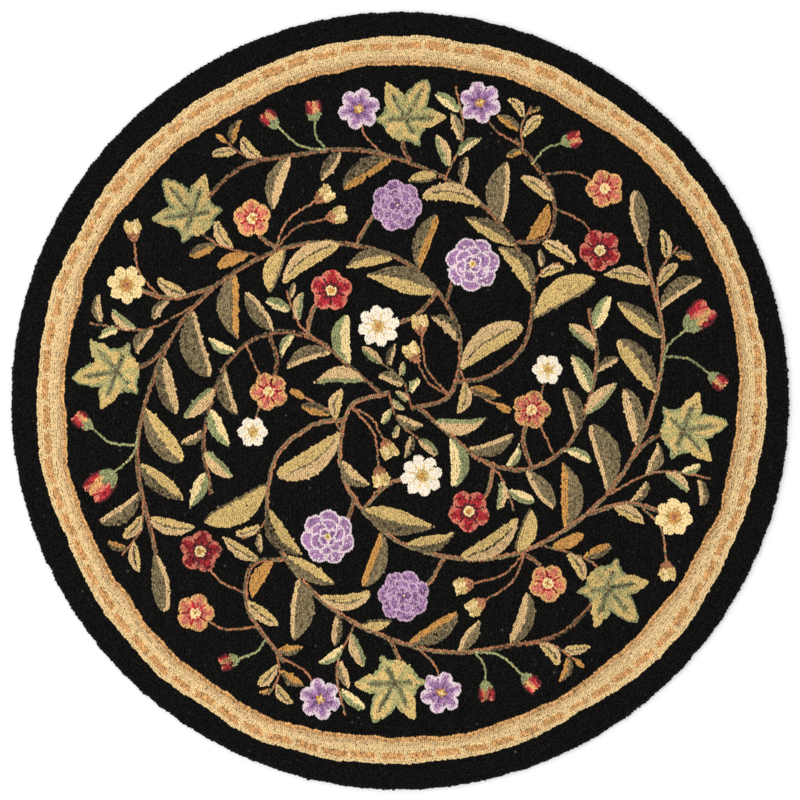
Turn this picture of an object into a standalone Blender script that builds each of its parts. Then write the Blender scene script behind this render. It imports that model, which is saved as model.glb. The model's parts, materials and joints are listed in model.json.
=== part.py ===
"""A round hooked wool rug, 1.22 m across, lying flat on a floor.

The rug is one piece: canvas filled from edge to edge with uncut wool loops, so it is one solid. Its
underside is flat, its rim is rolled over by the outermost loops, and its top is flat. The border is
hooked into the same cloth in gold wool, so it is a ring of faces with a material of its own.

Run it with: blender --background --python part.py
Units are metres, +Z is up, the origin is on the floor under the middle of the rug, and +Y points to
the top of the design.
"""

from math import atan2, cos, pi, radians, sin

import bmesh
import bpy

# Driving dimensions.
RUG_DIAMETER = 1.22
CANVAS_THICKNESS = 0.0025
LOOP_HEIGHT = 0.0065
RUG_THICKNESS = CANVAS_THICKNESS + LOOP_HEIGHT

RIM_ROLL = 0.0055  # how far in from the outline the rolled edge starts, above and below
RIM_STEPS = 6  # faces from the underside, round the rolled edge, to the top

BORDER_OUTER_RADIUS = 0.5729  # middle radius of the gold border's outer edge
BORDER_INNER_RADIUS = 0.5285  # middle radius of its inner edge
FIELD_RING_RADIUS = 0.30  # a ring of points in the flat field, so that its faces stay compact

OUTLINE_POINTS = 288  # points round each ring: one every 13 mm at the rim

# Hand-made edges wander a little. Each row is one wave round the rug.
# Columns: waves in a full turn, how far it strays in mm, its turn in degrees.
OUTLINE_WAVES = (
    (4, 0.22, 35.0),
    (9, 0.16, 110.0),
    (41, 0.25, 0.0),
    (67, 0.30, 75.0),
    (89, 0.35, 210.0),
)
BORDER_OUTER_WAVES = (
    (1, 2.1, -38.0),
    (2, 2.9, -75.0),
    (3, 1.4, -83.0),
    (4, 0.9, 95.0),
    (5, 1.2, -127.0),
    (10, 0.9, 22.0),
    (12, 0.8, -147.0),
)
BORDER_INNER_WAVES = (
    (1, 1.8, -15.0),
    (2, 4.7, -81.0),
    (3, 3.6, -82.0),
    (5, 1.4, -85.0),
    (7, 1.3, 112.0),
    (8, 1.1, -150.0),
    (12, 0.9, -134.0),
)

# Material slots on the rug, in their order on the object.
# Columns: name, base colour (linear), roughness.
YARNS = (
    ("black_wool_loops", (0.008, 0.008, 0.009, 1.0), 0.95),
    ("gold_wool_loops", (0.78, 0.53, 0.25, 1.0), 0.92),
    ("cotton_canvas", (0.55, 0.48, 0.36, 1.0), 0.90),
)
BLACK, GOLD, CANVAS = range(3)


def clear_scene():
    """Remove every object that the file holds."""
    for old in list(bpy.data.objects):
        bpy.data.objects.remove(old, do_unlink=True)


def wandering(radius, waves, angle):
    """The radius at an angle of an edge that strays from a circle by the given waves."""
    stray = sum(size * cos(count * angle + radians(turn)) for count, size, turn in waves)
    return radius + stray / 1000.0


def outline_radius(angle):
    """The rug's outermost radius at an angle."""
    return wandering(RUG_DIAMETER / 2, OUTLINE_WAVES, angle)


def rim_section(step):
    """How far in from the outline, and how high, the rolled rim is at a step from the underside."""
    turn = pi * step / RIM_STEPS - pi / 2
    inset = RIM_ROLL * (1.0 - cos(turn))
    height = RUG_THICKNESS / 2 * (1.0 + sin(turn))
    return inset, height


def extruded_ring(bm, edges, radius_at, height):
    """Extrude a ring of edges and lay the new ring at a height, at radius_at(angle) from the middle."""
    made = bmesh.ops.extrude_edge_only(bm, edges=edges)["geom"]
    points = [item for item in made if isinstance(item, bmesh.types.BMVert)]
    for point in points:
        angle = atan2(point.co.y, point.co.x)
        radius = radius_at(angle)
        point.co = (radius * cos(angle), radius * sin(angle), height)
    ring = [item for item in made if isinstance(item, bmesh.types.BMEdge)]
    faces = [item for item in made if isinstance(item, bmesh.types.BMFace)]
    return ring, faces


def close_with_fan(bm, ring, height):
    """Close a ring of edges with triangles that meet at the rug's axis."""
    middle = bm.verts.new((0.0, 0.0, height))
    return [bm.faces.new((edge.verts[0], edge.verts[1], middle)) for edge in ring]


def build_rug_mesh():
    """The rug as one closed mesh: flat underside, rolled rim, flat top with the border's two edges."""
    bm = bmesh.new()
    made = bmesh.ops.create_circle(bm, cap_ends=False, segments=OUTLINE_POINTS, radius=FIELD_RING_RADIUS)
    start = list({edge for point in made["verts"] for edge in point.link_edges})
    under = close_with_fan(bm, start, 0.0)

    ring = start
    for step in range(RIM_STEPS + 1):
        inset, height = rim_section(step)
        ring, faces = extruded_ring(bm, ring, lambda angle: outline_radius(angle) - inset, height)
        if step == 0:
            under += faces

    def outer_edge(angle):
        return wandering(BORDER_OUTER_RADIUS, BORDER_OUTER_WAVES, angle)

    def inner_edge(angle):
        return wandering(BORDER_INNER_RADIUS, BORDER_INNER_WAVES, angle)

    ring, _ = extruded_ring(bm, ring, outer_edge, RUG_THICKNESS)
    ring, border = extruded_ring(bm, ring, inner_edge, RUG_THICKNESS)
    ring, _ = extruded_ring(bm, ring, lambda angle: FIELD_RING_RADIUS, RUG_THICKNESS)
    close_with_fan(bm, ring, RUG_THICKNESS)

    for face in under:
        face.material_index = CANVAS
    for face in border:
        face.material_index = GOLD
    bmesh.ops.recalc_face_normals(bm, faces=bm.faces)
    mesh = bpy.data.meshes.new("hooked_rug")
    bm.to_mesh(mesh)
    bm.free()
    mesh.shade_smooth()
    mesh.set_sharp_from_angle(angle=radians(40.0))
    return mesh


def yarn_material(name, colour, roughness):
    """A Principled material in the colour and roughness of one yarn or cloth."""
    material = bpy.data.materials.new(name)
    material.use_nodes = True
    shader = material.node_tree.nodes["Principled BSDF"]
    shader.inputs["Base Color"].default_value = colour
    shader.inputs["Roughness"].default_value = roughness
    shader.inputs["Metallic"].default_value = 0.0
    return material


def build_rug():
    """The rug's object, with its yarns in their slots."""
    rug = bpy.data.objects.new("hooked_rug", build_rug_mesh())
    for name, colour, roughness in YARNS:
        rug.data.materials.append(yarn_material(name, colour, roughness))
    bpy.context.scene.collection.objects.link(rug)
    return rug


clear_scene()
build_rug()
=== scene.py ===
"""Looks of a round hooked rug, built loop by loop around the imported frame.

The design is drawn first, on a plan of small square cells. Each motif claims the cells it covers,
says which yarn each cell takes, and leaves the rows that a hooker would follow. Loops of wool are
then set along every row, as small meshes that stand on the canvas.

Names that end in _mm are millimetres on the rug, whose middle is (0, 0) with +Y towards the top of
the design. All other lengths are metres. Angles that end in _deg turn counter-clockwise from +X.
"""

from __future__ import annotations

import json
import logging
import math
from dataclasses import dataclass, field, fields, replace
from enum import Enum, IntEnum
from typing import Any, Iterator, Self, Sequence

import bmesh
import bpy
import numpy as np
from mathutils import Vector
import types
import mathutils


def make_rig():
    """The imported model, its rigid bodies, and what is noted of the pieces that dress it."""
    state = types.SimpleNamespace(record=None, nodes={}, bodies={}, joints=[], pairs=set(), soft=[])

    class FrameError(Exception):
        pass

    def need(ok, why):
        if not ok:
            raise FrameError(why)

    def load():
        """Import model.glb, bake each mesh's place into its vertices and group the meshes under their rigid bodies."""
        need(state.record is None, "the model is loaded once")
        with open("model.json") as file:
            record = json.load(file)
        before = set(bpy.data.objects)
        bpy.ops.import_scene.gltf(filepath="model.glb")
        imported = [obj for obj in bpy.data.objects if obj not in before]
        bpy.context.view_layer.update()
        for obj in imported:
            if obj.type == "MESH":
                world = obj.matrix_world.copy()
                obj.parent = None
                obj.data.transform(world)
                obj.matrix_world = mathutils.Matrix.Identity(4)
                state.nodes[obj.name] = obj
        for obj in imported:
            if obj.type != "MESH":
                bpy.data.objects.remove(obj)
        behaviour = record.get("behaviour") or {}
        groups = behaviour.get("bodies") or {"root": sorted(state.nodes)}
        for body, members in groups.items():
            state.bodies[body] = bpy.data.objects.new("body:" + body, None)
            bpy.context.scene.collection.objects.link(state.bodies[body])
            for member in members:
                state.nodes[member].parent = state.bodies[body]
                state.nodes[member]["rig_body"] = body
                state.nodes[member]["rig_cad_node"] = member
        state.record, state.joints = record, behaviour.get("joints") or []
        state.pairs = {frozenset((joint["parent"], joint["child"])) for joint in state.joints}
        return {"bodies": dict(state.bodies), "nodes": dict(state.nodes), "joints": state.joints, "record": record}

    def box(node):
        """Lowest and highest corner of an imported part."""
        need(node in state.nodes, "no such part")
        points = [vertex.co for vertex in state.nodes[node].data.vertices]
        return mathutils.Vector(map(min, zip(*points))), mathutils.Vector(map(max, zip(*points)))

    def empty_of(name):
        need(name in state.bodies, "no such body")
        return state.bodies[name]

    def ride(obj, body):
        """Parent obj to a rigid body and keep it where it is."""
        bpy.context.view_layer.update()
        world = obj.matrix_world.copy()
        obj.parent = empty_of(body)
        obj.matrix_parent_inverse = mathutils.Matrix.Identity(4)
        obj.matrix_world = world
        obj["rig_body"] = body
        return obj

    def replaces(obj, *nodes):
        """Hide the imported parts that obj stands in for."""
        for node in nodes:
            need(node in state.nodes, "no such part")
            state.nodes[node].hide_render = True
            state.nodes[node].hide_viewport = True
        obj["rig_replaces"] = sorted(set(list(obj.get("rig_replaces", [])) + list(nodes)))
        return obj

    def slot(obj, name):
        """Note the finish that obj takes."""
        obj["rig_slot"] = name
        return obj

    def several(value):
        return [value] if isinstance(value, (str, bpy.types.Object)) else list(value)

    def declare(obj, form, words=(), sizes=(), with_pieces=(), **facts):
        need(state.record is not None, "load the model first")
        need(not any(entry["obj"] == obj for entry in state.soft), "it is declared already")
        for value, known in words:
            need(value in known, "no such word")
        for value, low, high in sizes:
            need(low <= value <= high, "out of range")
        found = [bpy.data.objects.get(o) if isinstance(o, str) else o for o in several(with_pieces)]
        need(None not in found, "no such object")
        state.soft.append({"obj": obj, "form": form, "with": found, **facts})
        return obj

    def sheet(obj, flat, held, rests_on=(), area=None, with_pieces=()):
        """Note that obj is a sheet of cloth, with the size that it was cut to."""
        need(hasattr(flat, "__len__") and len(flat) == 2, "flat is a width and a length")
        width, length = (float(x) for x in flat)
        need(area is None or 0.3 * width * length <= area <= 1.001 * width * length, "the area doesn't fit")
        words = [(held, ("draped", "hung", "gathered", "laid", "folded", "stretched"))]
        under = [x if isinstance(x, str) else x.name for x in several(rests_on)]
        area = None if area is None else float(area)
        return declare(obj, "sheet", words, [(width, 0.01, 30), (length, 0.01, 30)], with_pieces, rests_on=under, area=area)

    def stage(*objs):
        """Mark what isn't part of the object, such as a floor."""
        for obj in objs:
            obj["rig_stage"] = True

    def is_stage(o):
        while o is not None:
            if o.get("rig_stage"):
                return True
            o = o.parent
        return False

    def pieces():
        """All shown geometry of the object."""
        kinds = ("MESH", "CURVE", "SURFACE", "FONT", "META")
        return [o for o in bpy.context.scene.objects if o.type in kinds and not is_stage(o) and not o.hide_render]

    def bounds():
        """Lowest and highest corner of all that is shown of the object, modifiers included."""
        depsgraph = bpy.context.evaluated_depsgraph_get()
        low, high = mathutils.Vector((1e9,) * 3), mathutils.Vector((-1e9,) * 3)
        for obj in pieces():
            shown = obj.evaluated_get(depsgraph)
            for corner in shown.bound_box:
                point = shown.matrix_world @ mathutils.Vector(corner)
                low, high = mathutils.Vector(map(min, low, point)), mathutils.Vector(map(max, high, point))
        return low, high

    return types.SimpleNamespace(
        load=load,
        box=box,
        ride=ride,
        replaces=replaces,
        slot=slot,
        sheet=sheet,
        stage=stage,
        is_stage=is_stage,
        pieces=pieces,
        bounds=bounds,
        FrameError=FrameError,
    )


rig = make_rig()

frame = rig.load()

CAD_NODE = "hooked_rug"
BODY = "root"
WOOL_SLOT = "hooked_wool"
SIZE_FILE = "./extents.json"
MM = 0.001
FULL_TURN = 2 * math.pi
BAND_PITCH = 0.314  # Blender's wave texture repeats once in this length over its scale
LOG = logging.getLogger("hooked_rug")

Points = np.ndarray
Place = Sequence[float]


# --------------------------------------------------------------------------- yarns and finishes


class Yarn(IntEnum):
    """The dyed wools of the rug, by the numbers that stand for them on the plan."""

    BLACK, CREAM, GOLD, AMBER, TAN, ORANGE, OLIVE, KHAKI, GREEN, RUST = range(10)
    RED, CORAL, MAROON, LILAC, LAVENDER, VIOLET, PURPLE, WHITE, STRAW, HONEY = range(10, 20)


def linear(hex_colour: str) -> tuple[float, float, float, float]:
    """Turn an sRGB hex colour into a linear one.

    Args:
        hex_colour: Six hex digits, such as "d9b674".

    Returns:
        Linear red, green and blue, and an alpha of 1.
    """
    parts = [int(hex_colour[i : i + 2], 16) / 255 for i in (0, 2, 4)]
    light = [p / 12.92 if p <= 0.04045 else ((p + 0.055) / 1.055) ** 2.4 for p in parts]
    return (light[0], light[1], light[2], 1.0)


def add_node(
    tree: bpy.types.NodeTree,
    kind: str,
    inputs: dict[str | int, Any] | None = None,
    out: str | int = 0,
    **settings: Any,
) -> bpy.types.NodeSocket | None:
    """Add one node to a material, with its settings and links.

    Args:
        tree: The material's node tree.
        kind: Blender's name for the node, without the "ShaderNode" before it.
        inputs: For each input, the value it holds or the output that feeds it.
        out: The output that is wanted from the node.
        **settings: Properties of the node itself.

    Returns:
        The wanted output, or None from a node without outputs.
    """
    made = tree.nodes.new("ShaderNode" + kind)
    for name, value in settings.items():
        setattr(made, name, value)
    for name, value in (inputs or {}).items():
        if isinstance(value, bpy.types.NodeSocket):
            tree.links.new(value, made.inputs[name])
        else:
            made.inputs[name].default_value = value
    return made.outputs[out] if len(made.outputs) else None


@dataclass(frozen=True)
class Finish:
    """What a surface is made of and how it looks, as a material of one shader."""

    def material(self, name: str) -> bpy.types.Material:
        """Build the finish's material.

        Args:
            name: The material's name.

        Returns:
            The material.
        """
        material = bpy.data.materials.new(name)
        material.use_nodes = True
        tree = material.node_tree
        tree.nodes.clear()
        surface = add_node(tree, "BsdfPrincipled", self._surface(tree))
        add_node(tree, "OutputMaterial", {"Surface": surface})
        return material

    def _surface(self, tree: bpy.types.NodeTree) -> dict[str, Any]:
        """Draw the finish's patterns and say what the shader takes: each finish has its own."""
        raise NotImplementedError


@dataclass(frozen=True)
class SpunWool(Finish):
    """Worsted wool yarn, dyed in the skein and hooked uncut: matt, hairy, a little uneven in shade."""

    dye: str
    spread: float = 0.16  # how far a loop's own tone moves its shade
    sheen: float = 0.12
    shine: float = 0.18
    full_shade: float = 1.20
    # Painted shade at a loop's root: the share of its colour that is left there.
    root_shade: float = 0.30
    drift: float = 0.20  # the weight of the skein's patches in the shade, and below that of two more
    drift_mm: float = 70.0
    fibre: float = 0.22
    fibre_mm: float = 0.5
    ply: float = 0.14
    ply_mm: float = 1.3
    ply_deg: float = 38.0

    def _surface(self, tree: bpy.types.NodeTree) -> dict[str, Any]:
        """Draw the yarn, whose shade follows each loop's own tone, darkened towards its root by painted shade.

        Args:
            tree: The material's node tree.

        Returns:
            What the shader takes.
        """
        tone = add_node(tree, "Attribute", out="Fac", attribute_name="loop_tone")
        rise = add_node(tree, "Attribute", out="Fac", attribute_name="loop_rise")
        place = add_node(tree, "TexCoord", out="Object")
        lay = add_node(tree, "UVMap", uv_map="yarn_lay")
        # The skein took the dye unevenly: broad patches a little lighter or darker.
        scale = 1 / (self.drift_mm * MM)
        drift = add_node(tree, "TexNoise", {"Vector": place, "Scale": scale, "Detail": 2.0})
        # Loose fibres on the yarn, drawn about ten times as coarse as wool hairs so that they show.
        scale = 1 / (self.fibre_mm * MM)
        fibre = add_node(
            tree, "TexNoise", {"Vector": place, "Scale": scale, "Detail": 3.0, "Roughness": 0.7}
        )
        # Two plies wound round each other cross the loop as slanting ridges.
        slant = add_node(tree, "Mapping", {"Vector": lay, "Rotation": (0.0, 0.0, math.radians(self.ply_deg))})
        ply = add_node(
            tree,
            "TexWave",
            {"Vector": slant, "Scale": BAND_PITCH / self.ply_mm, "Distortion": 1.2, "Detail": 1.0},
            "Fac",
            wave_type="BANDS",
            bands_direction="X",
        )
        patterns = ((tone, self.spread), (drift, self.drift), (fibre, self.fibre), (ply, self.ply))
        # The three textures lie round a half, so half of what they add comes off the full shade.
        start = self.full_shade - (self.drift + self.fibre + self.ply) / 2
        level = add_node(tree, "Math", {0: self._sum(tree, patterns), 1: start}, operation="ADD")
        # Painted shade: the colour darkens from the loop's top to its root, where it sinks between its neighbours.
        root = add_node(
            tree,
            "MapRange",
            {"Value": rise, "From Min": 0.0, "From Max": 0.95, "To Min": self.root_shade, "To Max": 1.0},
            interpolation_type="SMOOTHSTEP",
        )
        value = add_node(tree, "Math", {0: level, 1: root}, operation="MULTIPLY")
        colour = add_node(tree, "HueSaturation", {"Color": linear(self.dye), "Value": value})
        height = self._sum(tree, ((ply, 0.6), (fibre, 0.4)))
        return {
            "Base Color": colour,
            "Roughness": 0.92,
            "IOR": 1.54,
            "Specular IOR Level": self.shine,
            "Sheen Weight": self.sheen,
            "Sheen Roughness": 0.55,
            "Normal": add_node(tree, "Bump", {"Height": height, "Strength": 0.45, "Distance": 0.0004}),
        }

    @staticmethod
    def _sum(
        tree: bpy.types.NodeTree, parts: Sequence[tuple[bpy.types.NodeSocket, float]]
    ) -> bpy.types.NodeSocket:
        """Add up several outputs, each times its weight.

        Args:
            tree: The material's node tree.
            parts: Each output with its weight.

        Returns:
            The output that holds the sum.
        """
        total: Any = 0.0
        for socket, weight in parts:
            total = add_node(tree, "Math", {0: socket, 1: weight, 2: total}, operation="MULTIPLY_ADD")
        return total


DYES: dict[Yarn, SpunWool] = {
    Yarn.BLACK: SpunWool("161514", spread=0.34, sheen=0.0, shine=0.06),
    Yarn.CREAM: SpunWool("dec08b", spread=0.14),
    Yarn.GOLD: SpunWool("ccae6e", spread=0.17),
    Yarn.AMBER: SpunWool("c08c48", spread=0.20),
    Yarn.TAN: SpunWool("cc9a61", spread=0.29),
    Yarn.ORANGE: SpunWool("c89961", spread=0.36),
    Yarn.OLIVE: SpunWool("746548", spread=0.56, sheen=0.06),
    Yarn.KHAKI: SpunWool("b1a46b", spread=0.17),
    Yarn.GREEN: SpunWool("8d9062", spread=0.30),
    Yarn.RUST: SpunWool("a36d4b", spread=0.36, sheen=0.06),
    Yarn.RED: SpunWool("a62a31", spread=0.52, sheen=0.06),
    Yarn.CORAL: SpunWool("c66f5a", spread=0.32),
    Yarn.MAROON: SpunWool("5e2427", spread=0.20, sheen=0.03),
    # The palest yarns keep more of their colour at their loops' roots, under less painted shade.
    Yarn.LILAC: SpunWool("d9c5ca", spread=0.10, root_shade=0.55),
    Yarn.LAVENDER: SpunWool("c2a1b8", spread=0.16),
    Yarn.VIOLET: SpunWool("a67ca4", spread=0.22),
    Yarn.PURPLE: SpunWool("7f5a82", spread=0.26, sheen=0.06),
    Yarn.WHITE: SpunWool("ebdfcb", spread=0.09, root_shade=0.60),
    Yarn.STRAW: SpunWool("e6cd95", spread=0.12, root_shade=0.42),
    Yarn.HONEY: SpunWool("cfae7c", spread=0.18),
}


@dataclass(frozen=True)
class CottonCanvas(Finish):
    """Plain-woven cotton canvas, unbleached, seen from below: square threads over and under."""

    thread_mm: float = 1.8
    pale: str = "c9b893"
    # Painted shade: the darker colour where the threads dip under each other.
    shaded: str = "8f7d5c"

    def _surface(self, tree: bpy.types.NodeTree) -> dict[str, Any]:
        """Draw the weave, in bump and in colour, the colour darkened as painted shade where the threads dip under each
        other.

        Args:
            tree: The material's node tree.

        Returns:
            What the shader takes.
        """
        place = add_node(tree, "TexCoord", out="Object")
        thread = {"Vector": place, "Scale": BAND_PITCH / (self.thread_mm * MM), "Distortion": 0.4}
        warp, weft = (
            add_node(tree, "TexWave", thread, "Fac", wave_type="BANDS", bands_direction=way)
            for way in ("X", "Y")
        )
        weave = add_node(tree, "Math", {0: warp, 1: weft}, operation="MULTIPLY")
        # Inputs 6 and 7 and output 2 are the colour ones of a Mix node.
        shades = {"Factor": weave, 6: linear(self.shaded), 7: linear(self.pale)}
        return {
            "Base Color": add_node(tree, "Mix", shades, 2, data_type="RGBA"),
            "Roughness": 0.9,
            "IOR": 1.53,
            "Specular IOR Level": 0.25,
            "Normal": add_node(tree, "Bump", {"Height": weave, "Strength": 0.6, "Distance": 0.0005}),
        }


@dataclass(frozen=True)
class PaintedFloor(Finish):
    """Matt painted studio floor: plain, pale and even."""

    paint: str = "fafaf9"

    def _surface(self, tree: bpy.types.NodeTree) -> dict[str, Any]:
        """Say what the shader takes: one colour all over, with hardly any shine."""
        return {"Base Color": linear(self.paint), "Roughness": 0.8, "Specular IOR Level": 0.2}


# --------------------------------------------------------------------------- sizes and edges

# One wave of a hand-made edge: how many fit round the rug, how far it strays in mm, its turn in degrees.
Wave = tuple[int, float, float]

OUTLINE_WAVES: tuple[Wave, ...] = (
    (4, 0.22, 35.0), (9, 0.16, 110.0), (41, 0.25, 0.0), (67, 0.30, 75.0), (89, 0.35, 210.0),
)
BORDER_OUTER_WAVES: tuple[Wave, ...] = (
    (1, 2.3, -35.0), (2, 2.9, -75.0), (3, 1.4, -83.0), (4, 0.9, 95.0), (5, 1.2, -127.0), (6, 0.6, -108.0),
    (8, 0.6, -27.0), (9, 0.5, 12.0), (10, 0.9, 22.0), (11, 0.8, 67.0), (12, 0.8, -147.0),
)
BORDER_INNER_WAVES: tuple[Wave, ...] = (
    (1, 2.0, -14.0), (2, 4.7, -81.0), (3, 3.6, -82.0), (5, 1.4, -85.0), (6, 0.6, -146.0),
    (7, 1.3, 112.0), (8, 1.1, -150.0), (12, 0.9, -134.0),
)
EDGE_SAMPLES = 8193  # places round an edge at which its radius is worked out
RING_POINTS = 4200  # points on a row that goes all the way round the rug, one every 0.9 mm
RING_DENSITY = 7  # points on a motif's ring for each mm of its radius
MOTIF_ROOM_MM = 3.0  # how much wider a window is than its motif, for cells that hand work moves in


@dataclass(frozen=True)
class Edge:
    """A round edge that wanders from its circle as hand work does."""

    radius_mm: float
    waves: tuple[Wave, ...]
    tremble_seed: int = 0
    tremble_mm: float = 21.0
    tremble_fall: float = 1.3
    tremble_counts: tuple[int, int] = (14, 140)

    def at(self, angle: np.ndarray) -> np.ndarray:
        """Work out how far out the edge is.

        Args:
            angle: Directions from the rug's middle, in radians.

        Returns:
            The edge's radius in mm in each of them.
        """
        turn = np.linspace(0.0, FULL_TURN, EDGE_SAMPLES)
        waves = (*self.waves, *self._tremble())
        stray = sum(size_mm * np.cos(count * turn + math.radians(deg)) for count, size_mm, deg in waves)
        return self.radius_mm + np.interp(angle % FULL_TURN, turn, stray)

    def _tremble(self) -> list[Wave]:
        """Draw the smaller waves by which an unsteady hand strays.

        Returns:
            The waves, or none for an edge without a seed.
        """
        if not self.tremble_seed:
            return []
        luck = np.random.default_rng(self.tremble_seed)
        waves = []
        for count in range(*self.tremble_counts):
            size_mm = self.tremble_mm * count**-self.tremble_fall * luck.uniform(0.5, 1.4)
            waves.append((count, size_mm, luck.uniform(0.0, 360.0)))
        return waves


@dataclass(frozen=True)
class RugSize:
    """The rug's sizes, worked out from the frame where the frame has them."""

    outline: Edge
    thickness_mm: float
    rim_roll_mm: float = 5.5
    loop_rise_mm: float = 2.4
    row_mm: float = 3.42
    ground_row_mm: float = 3.7
    border_outer: Edge = Edge(571.2, BORDER_OUTER_WAVES, 21, tremble_mm=9.0, tremble_fall=1.15)
    border_inner: Edge = Edge(528.4, BORDER_INNER_WAVES, 22)

    @classmethod
    def from_frame(cls) -> RugSize:
        """Read the rug's radius and thickness from its CAD node.

        Returns:
            The rug's sizes.
        """
        low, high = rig.box(CAD_NODE)
        # The box touches the outermost waves, which stand this far out from the circle.
        proud_mm = 0.4
        radius_mm = (high.x - low.x + high.y - low.y) / 4 / MM - proud_mm
        return cls(Edge(radius_mm, OUTLINE_WAVES), (high.z - low.z) / MM)


def polar(radius_mm: float, angle_deg: float) -> tuple[float, float]:
    """A place on the rug by its distance and direction from the middle."""
    angle = math.radians(angle_deg)
    return (radius_mm * math.cos(angle), radius_mm * math.sin(angle))


def heading(angle_deg: float) -> np.ndarray:
    """The unit vector that points along an angle."""
    return np.array(polar(1.0, angle_deg))


def direction_deg(way: Place) -> float:
    """The angle that a vector points along."""
    return math.degrees(math.atan2(way[1], way[0]))


def evenly(points: Points, step_mm: float = 1.0) -> Points:
    """Space a line's points evenly along it.

    Args:
        points: The line.
        step_mm: The distance between two points, or nearly.

    Returns:
        The same line, with new points.
    """
    gaps = np.hypot(*np.diff(points, axis=0).T)
    run = np.concatenate([[0.0], np.cumsum(gaps)])
    at = np.linspace(0.0, run[-1], max(int(run[-1] / step_mm), 2))
    return np.stack([np.interp(at, run, axis) for axis in points.T], 1)


def smooth_line(knots: Sequence[Place], steps: int = 40) -> Points:
    """Draw a smooth line through a few places.

    Args:
        knots: The places in mm, two or more.
        steps: How many points the curve has from one place to the next, before they are spaced.

    Returns:
        Points about 1 mm apart.
    """
    at = np.array(knots, float)
    ends = np.concatenate([[2 * at[0] - at[1]], at, [2 * at[-1] - at[-2]]])
    share = np.linspace(0.0, 1.0, steps, endpoint=False)[:, None]
    parts = []
    for a, b, c, d in zip(ends, ends[1:], ends[2:], ends[3:]):
        bend = 2 * a - 5 * b + 4 * c - d
        twist = 3 * b - a - 3 * c + d
        parts.append(b + 0.5 * share * ((c - a) + share * (bend + share * twist)))
    return evenly(np.concatenate([*parts, at[-1:]]))


def beside(points: Points, offset_mm: float) -> Points:
    """Draw the line that runs beside another.

    Args:
        points: The other line.
        offset_mm: How far to its left the new one is, or to its right if negative.

    Returns:
        The new line.
    """
    way = np.gradient(points, axis=0)
    way /= np.hypot(*way.T)[:, None]
    return points + offset_mm * np.stack([-way[:, 1], way[:, 0]], 1)


def straight(start: Place, length_mm: float, angle_deg: float) -> Points:
    """The straight line from a place along an angle, with points 1 mm apart."""
    return np.asarray(start) + np.outer(np.arange(0.0, length_mm, 1.0), heading(angle_deg))


def full_turn(count: int) -> np.ndarray:
    """Angles once round, in radians, the last on the first."""
    return np.linspace(-math.pi, math.pi, count)


def ring(turn: np.ndarray, reach_mm: np.ndarray | float, middle: Place = (0.0, 0.0)) -> Points:
    """The line round a place that is so far from it at each angle."""
    return np.asarray(middle) + np.stack([np.cos(turn), np.sin(turn)], 1) * np.reshape(reach_mm, (-1, 1))


def disc(reach: float) -> tuple[np.ndarray, np.ndarray]:
    """List the cells within reach of one cell.

    Args:
        reach: The disc's radius in cells.

    Returns:
        The steps down and the steps across to each of them.
    """
    span = np.arange(-int(reach), int(reach) + 1)
    down, across = (a.ravel() for a in np.meshgrid(span, span))
    near = np.hypot(down, across) <= reach
    return down[near], across[near]


# --------------------------------------------------------------------------- the plan


class Part(Enum):
    """The parts of the rug that are hooked one after another."""

    GROUND = "ground_loops"
    RIM = "rim_loops"
    BORDER = "border_loops"
    STEM = "stem_loops"
    LEAF = "leaf_loops"
    BLOOM = "bloom_loops"


PLAIN_PARTS = (Part.GROUND, Part.RIM)
HALVED_PARTS = (Part.GROUND, Part.LEAF)


@dataclass
class Row:
    """A line that a hooker follows, for as long as it stays on its own motif."""

    points: Points
    motif: int


@dataclass
class Window:
    """A part of the plan: its slices, and the places of its cells in mm."""

    rows: slice
    columns: slice
    x: np.ndarray
    y: np.ndarray

    def around(self, middle: Place = (0.0, 0.0)) -> tuple[np.ndarray, np.ndarray]:
        """Each cell's direction in radians and its distance in mm from a place."""
        dx, dy = self.x - middle[0], self.y - middle[1]
        return np.arctan2(dy, dx), np.hypot(dx, dy)


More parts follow.
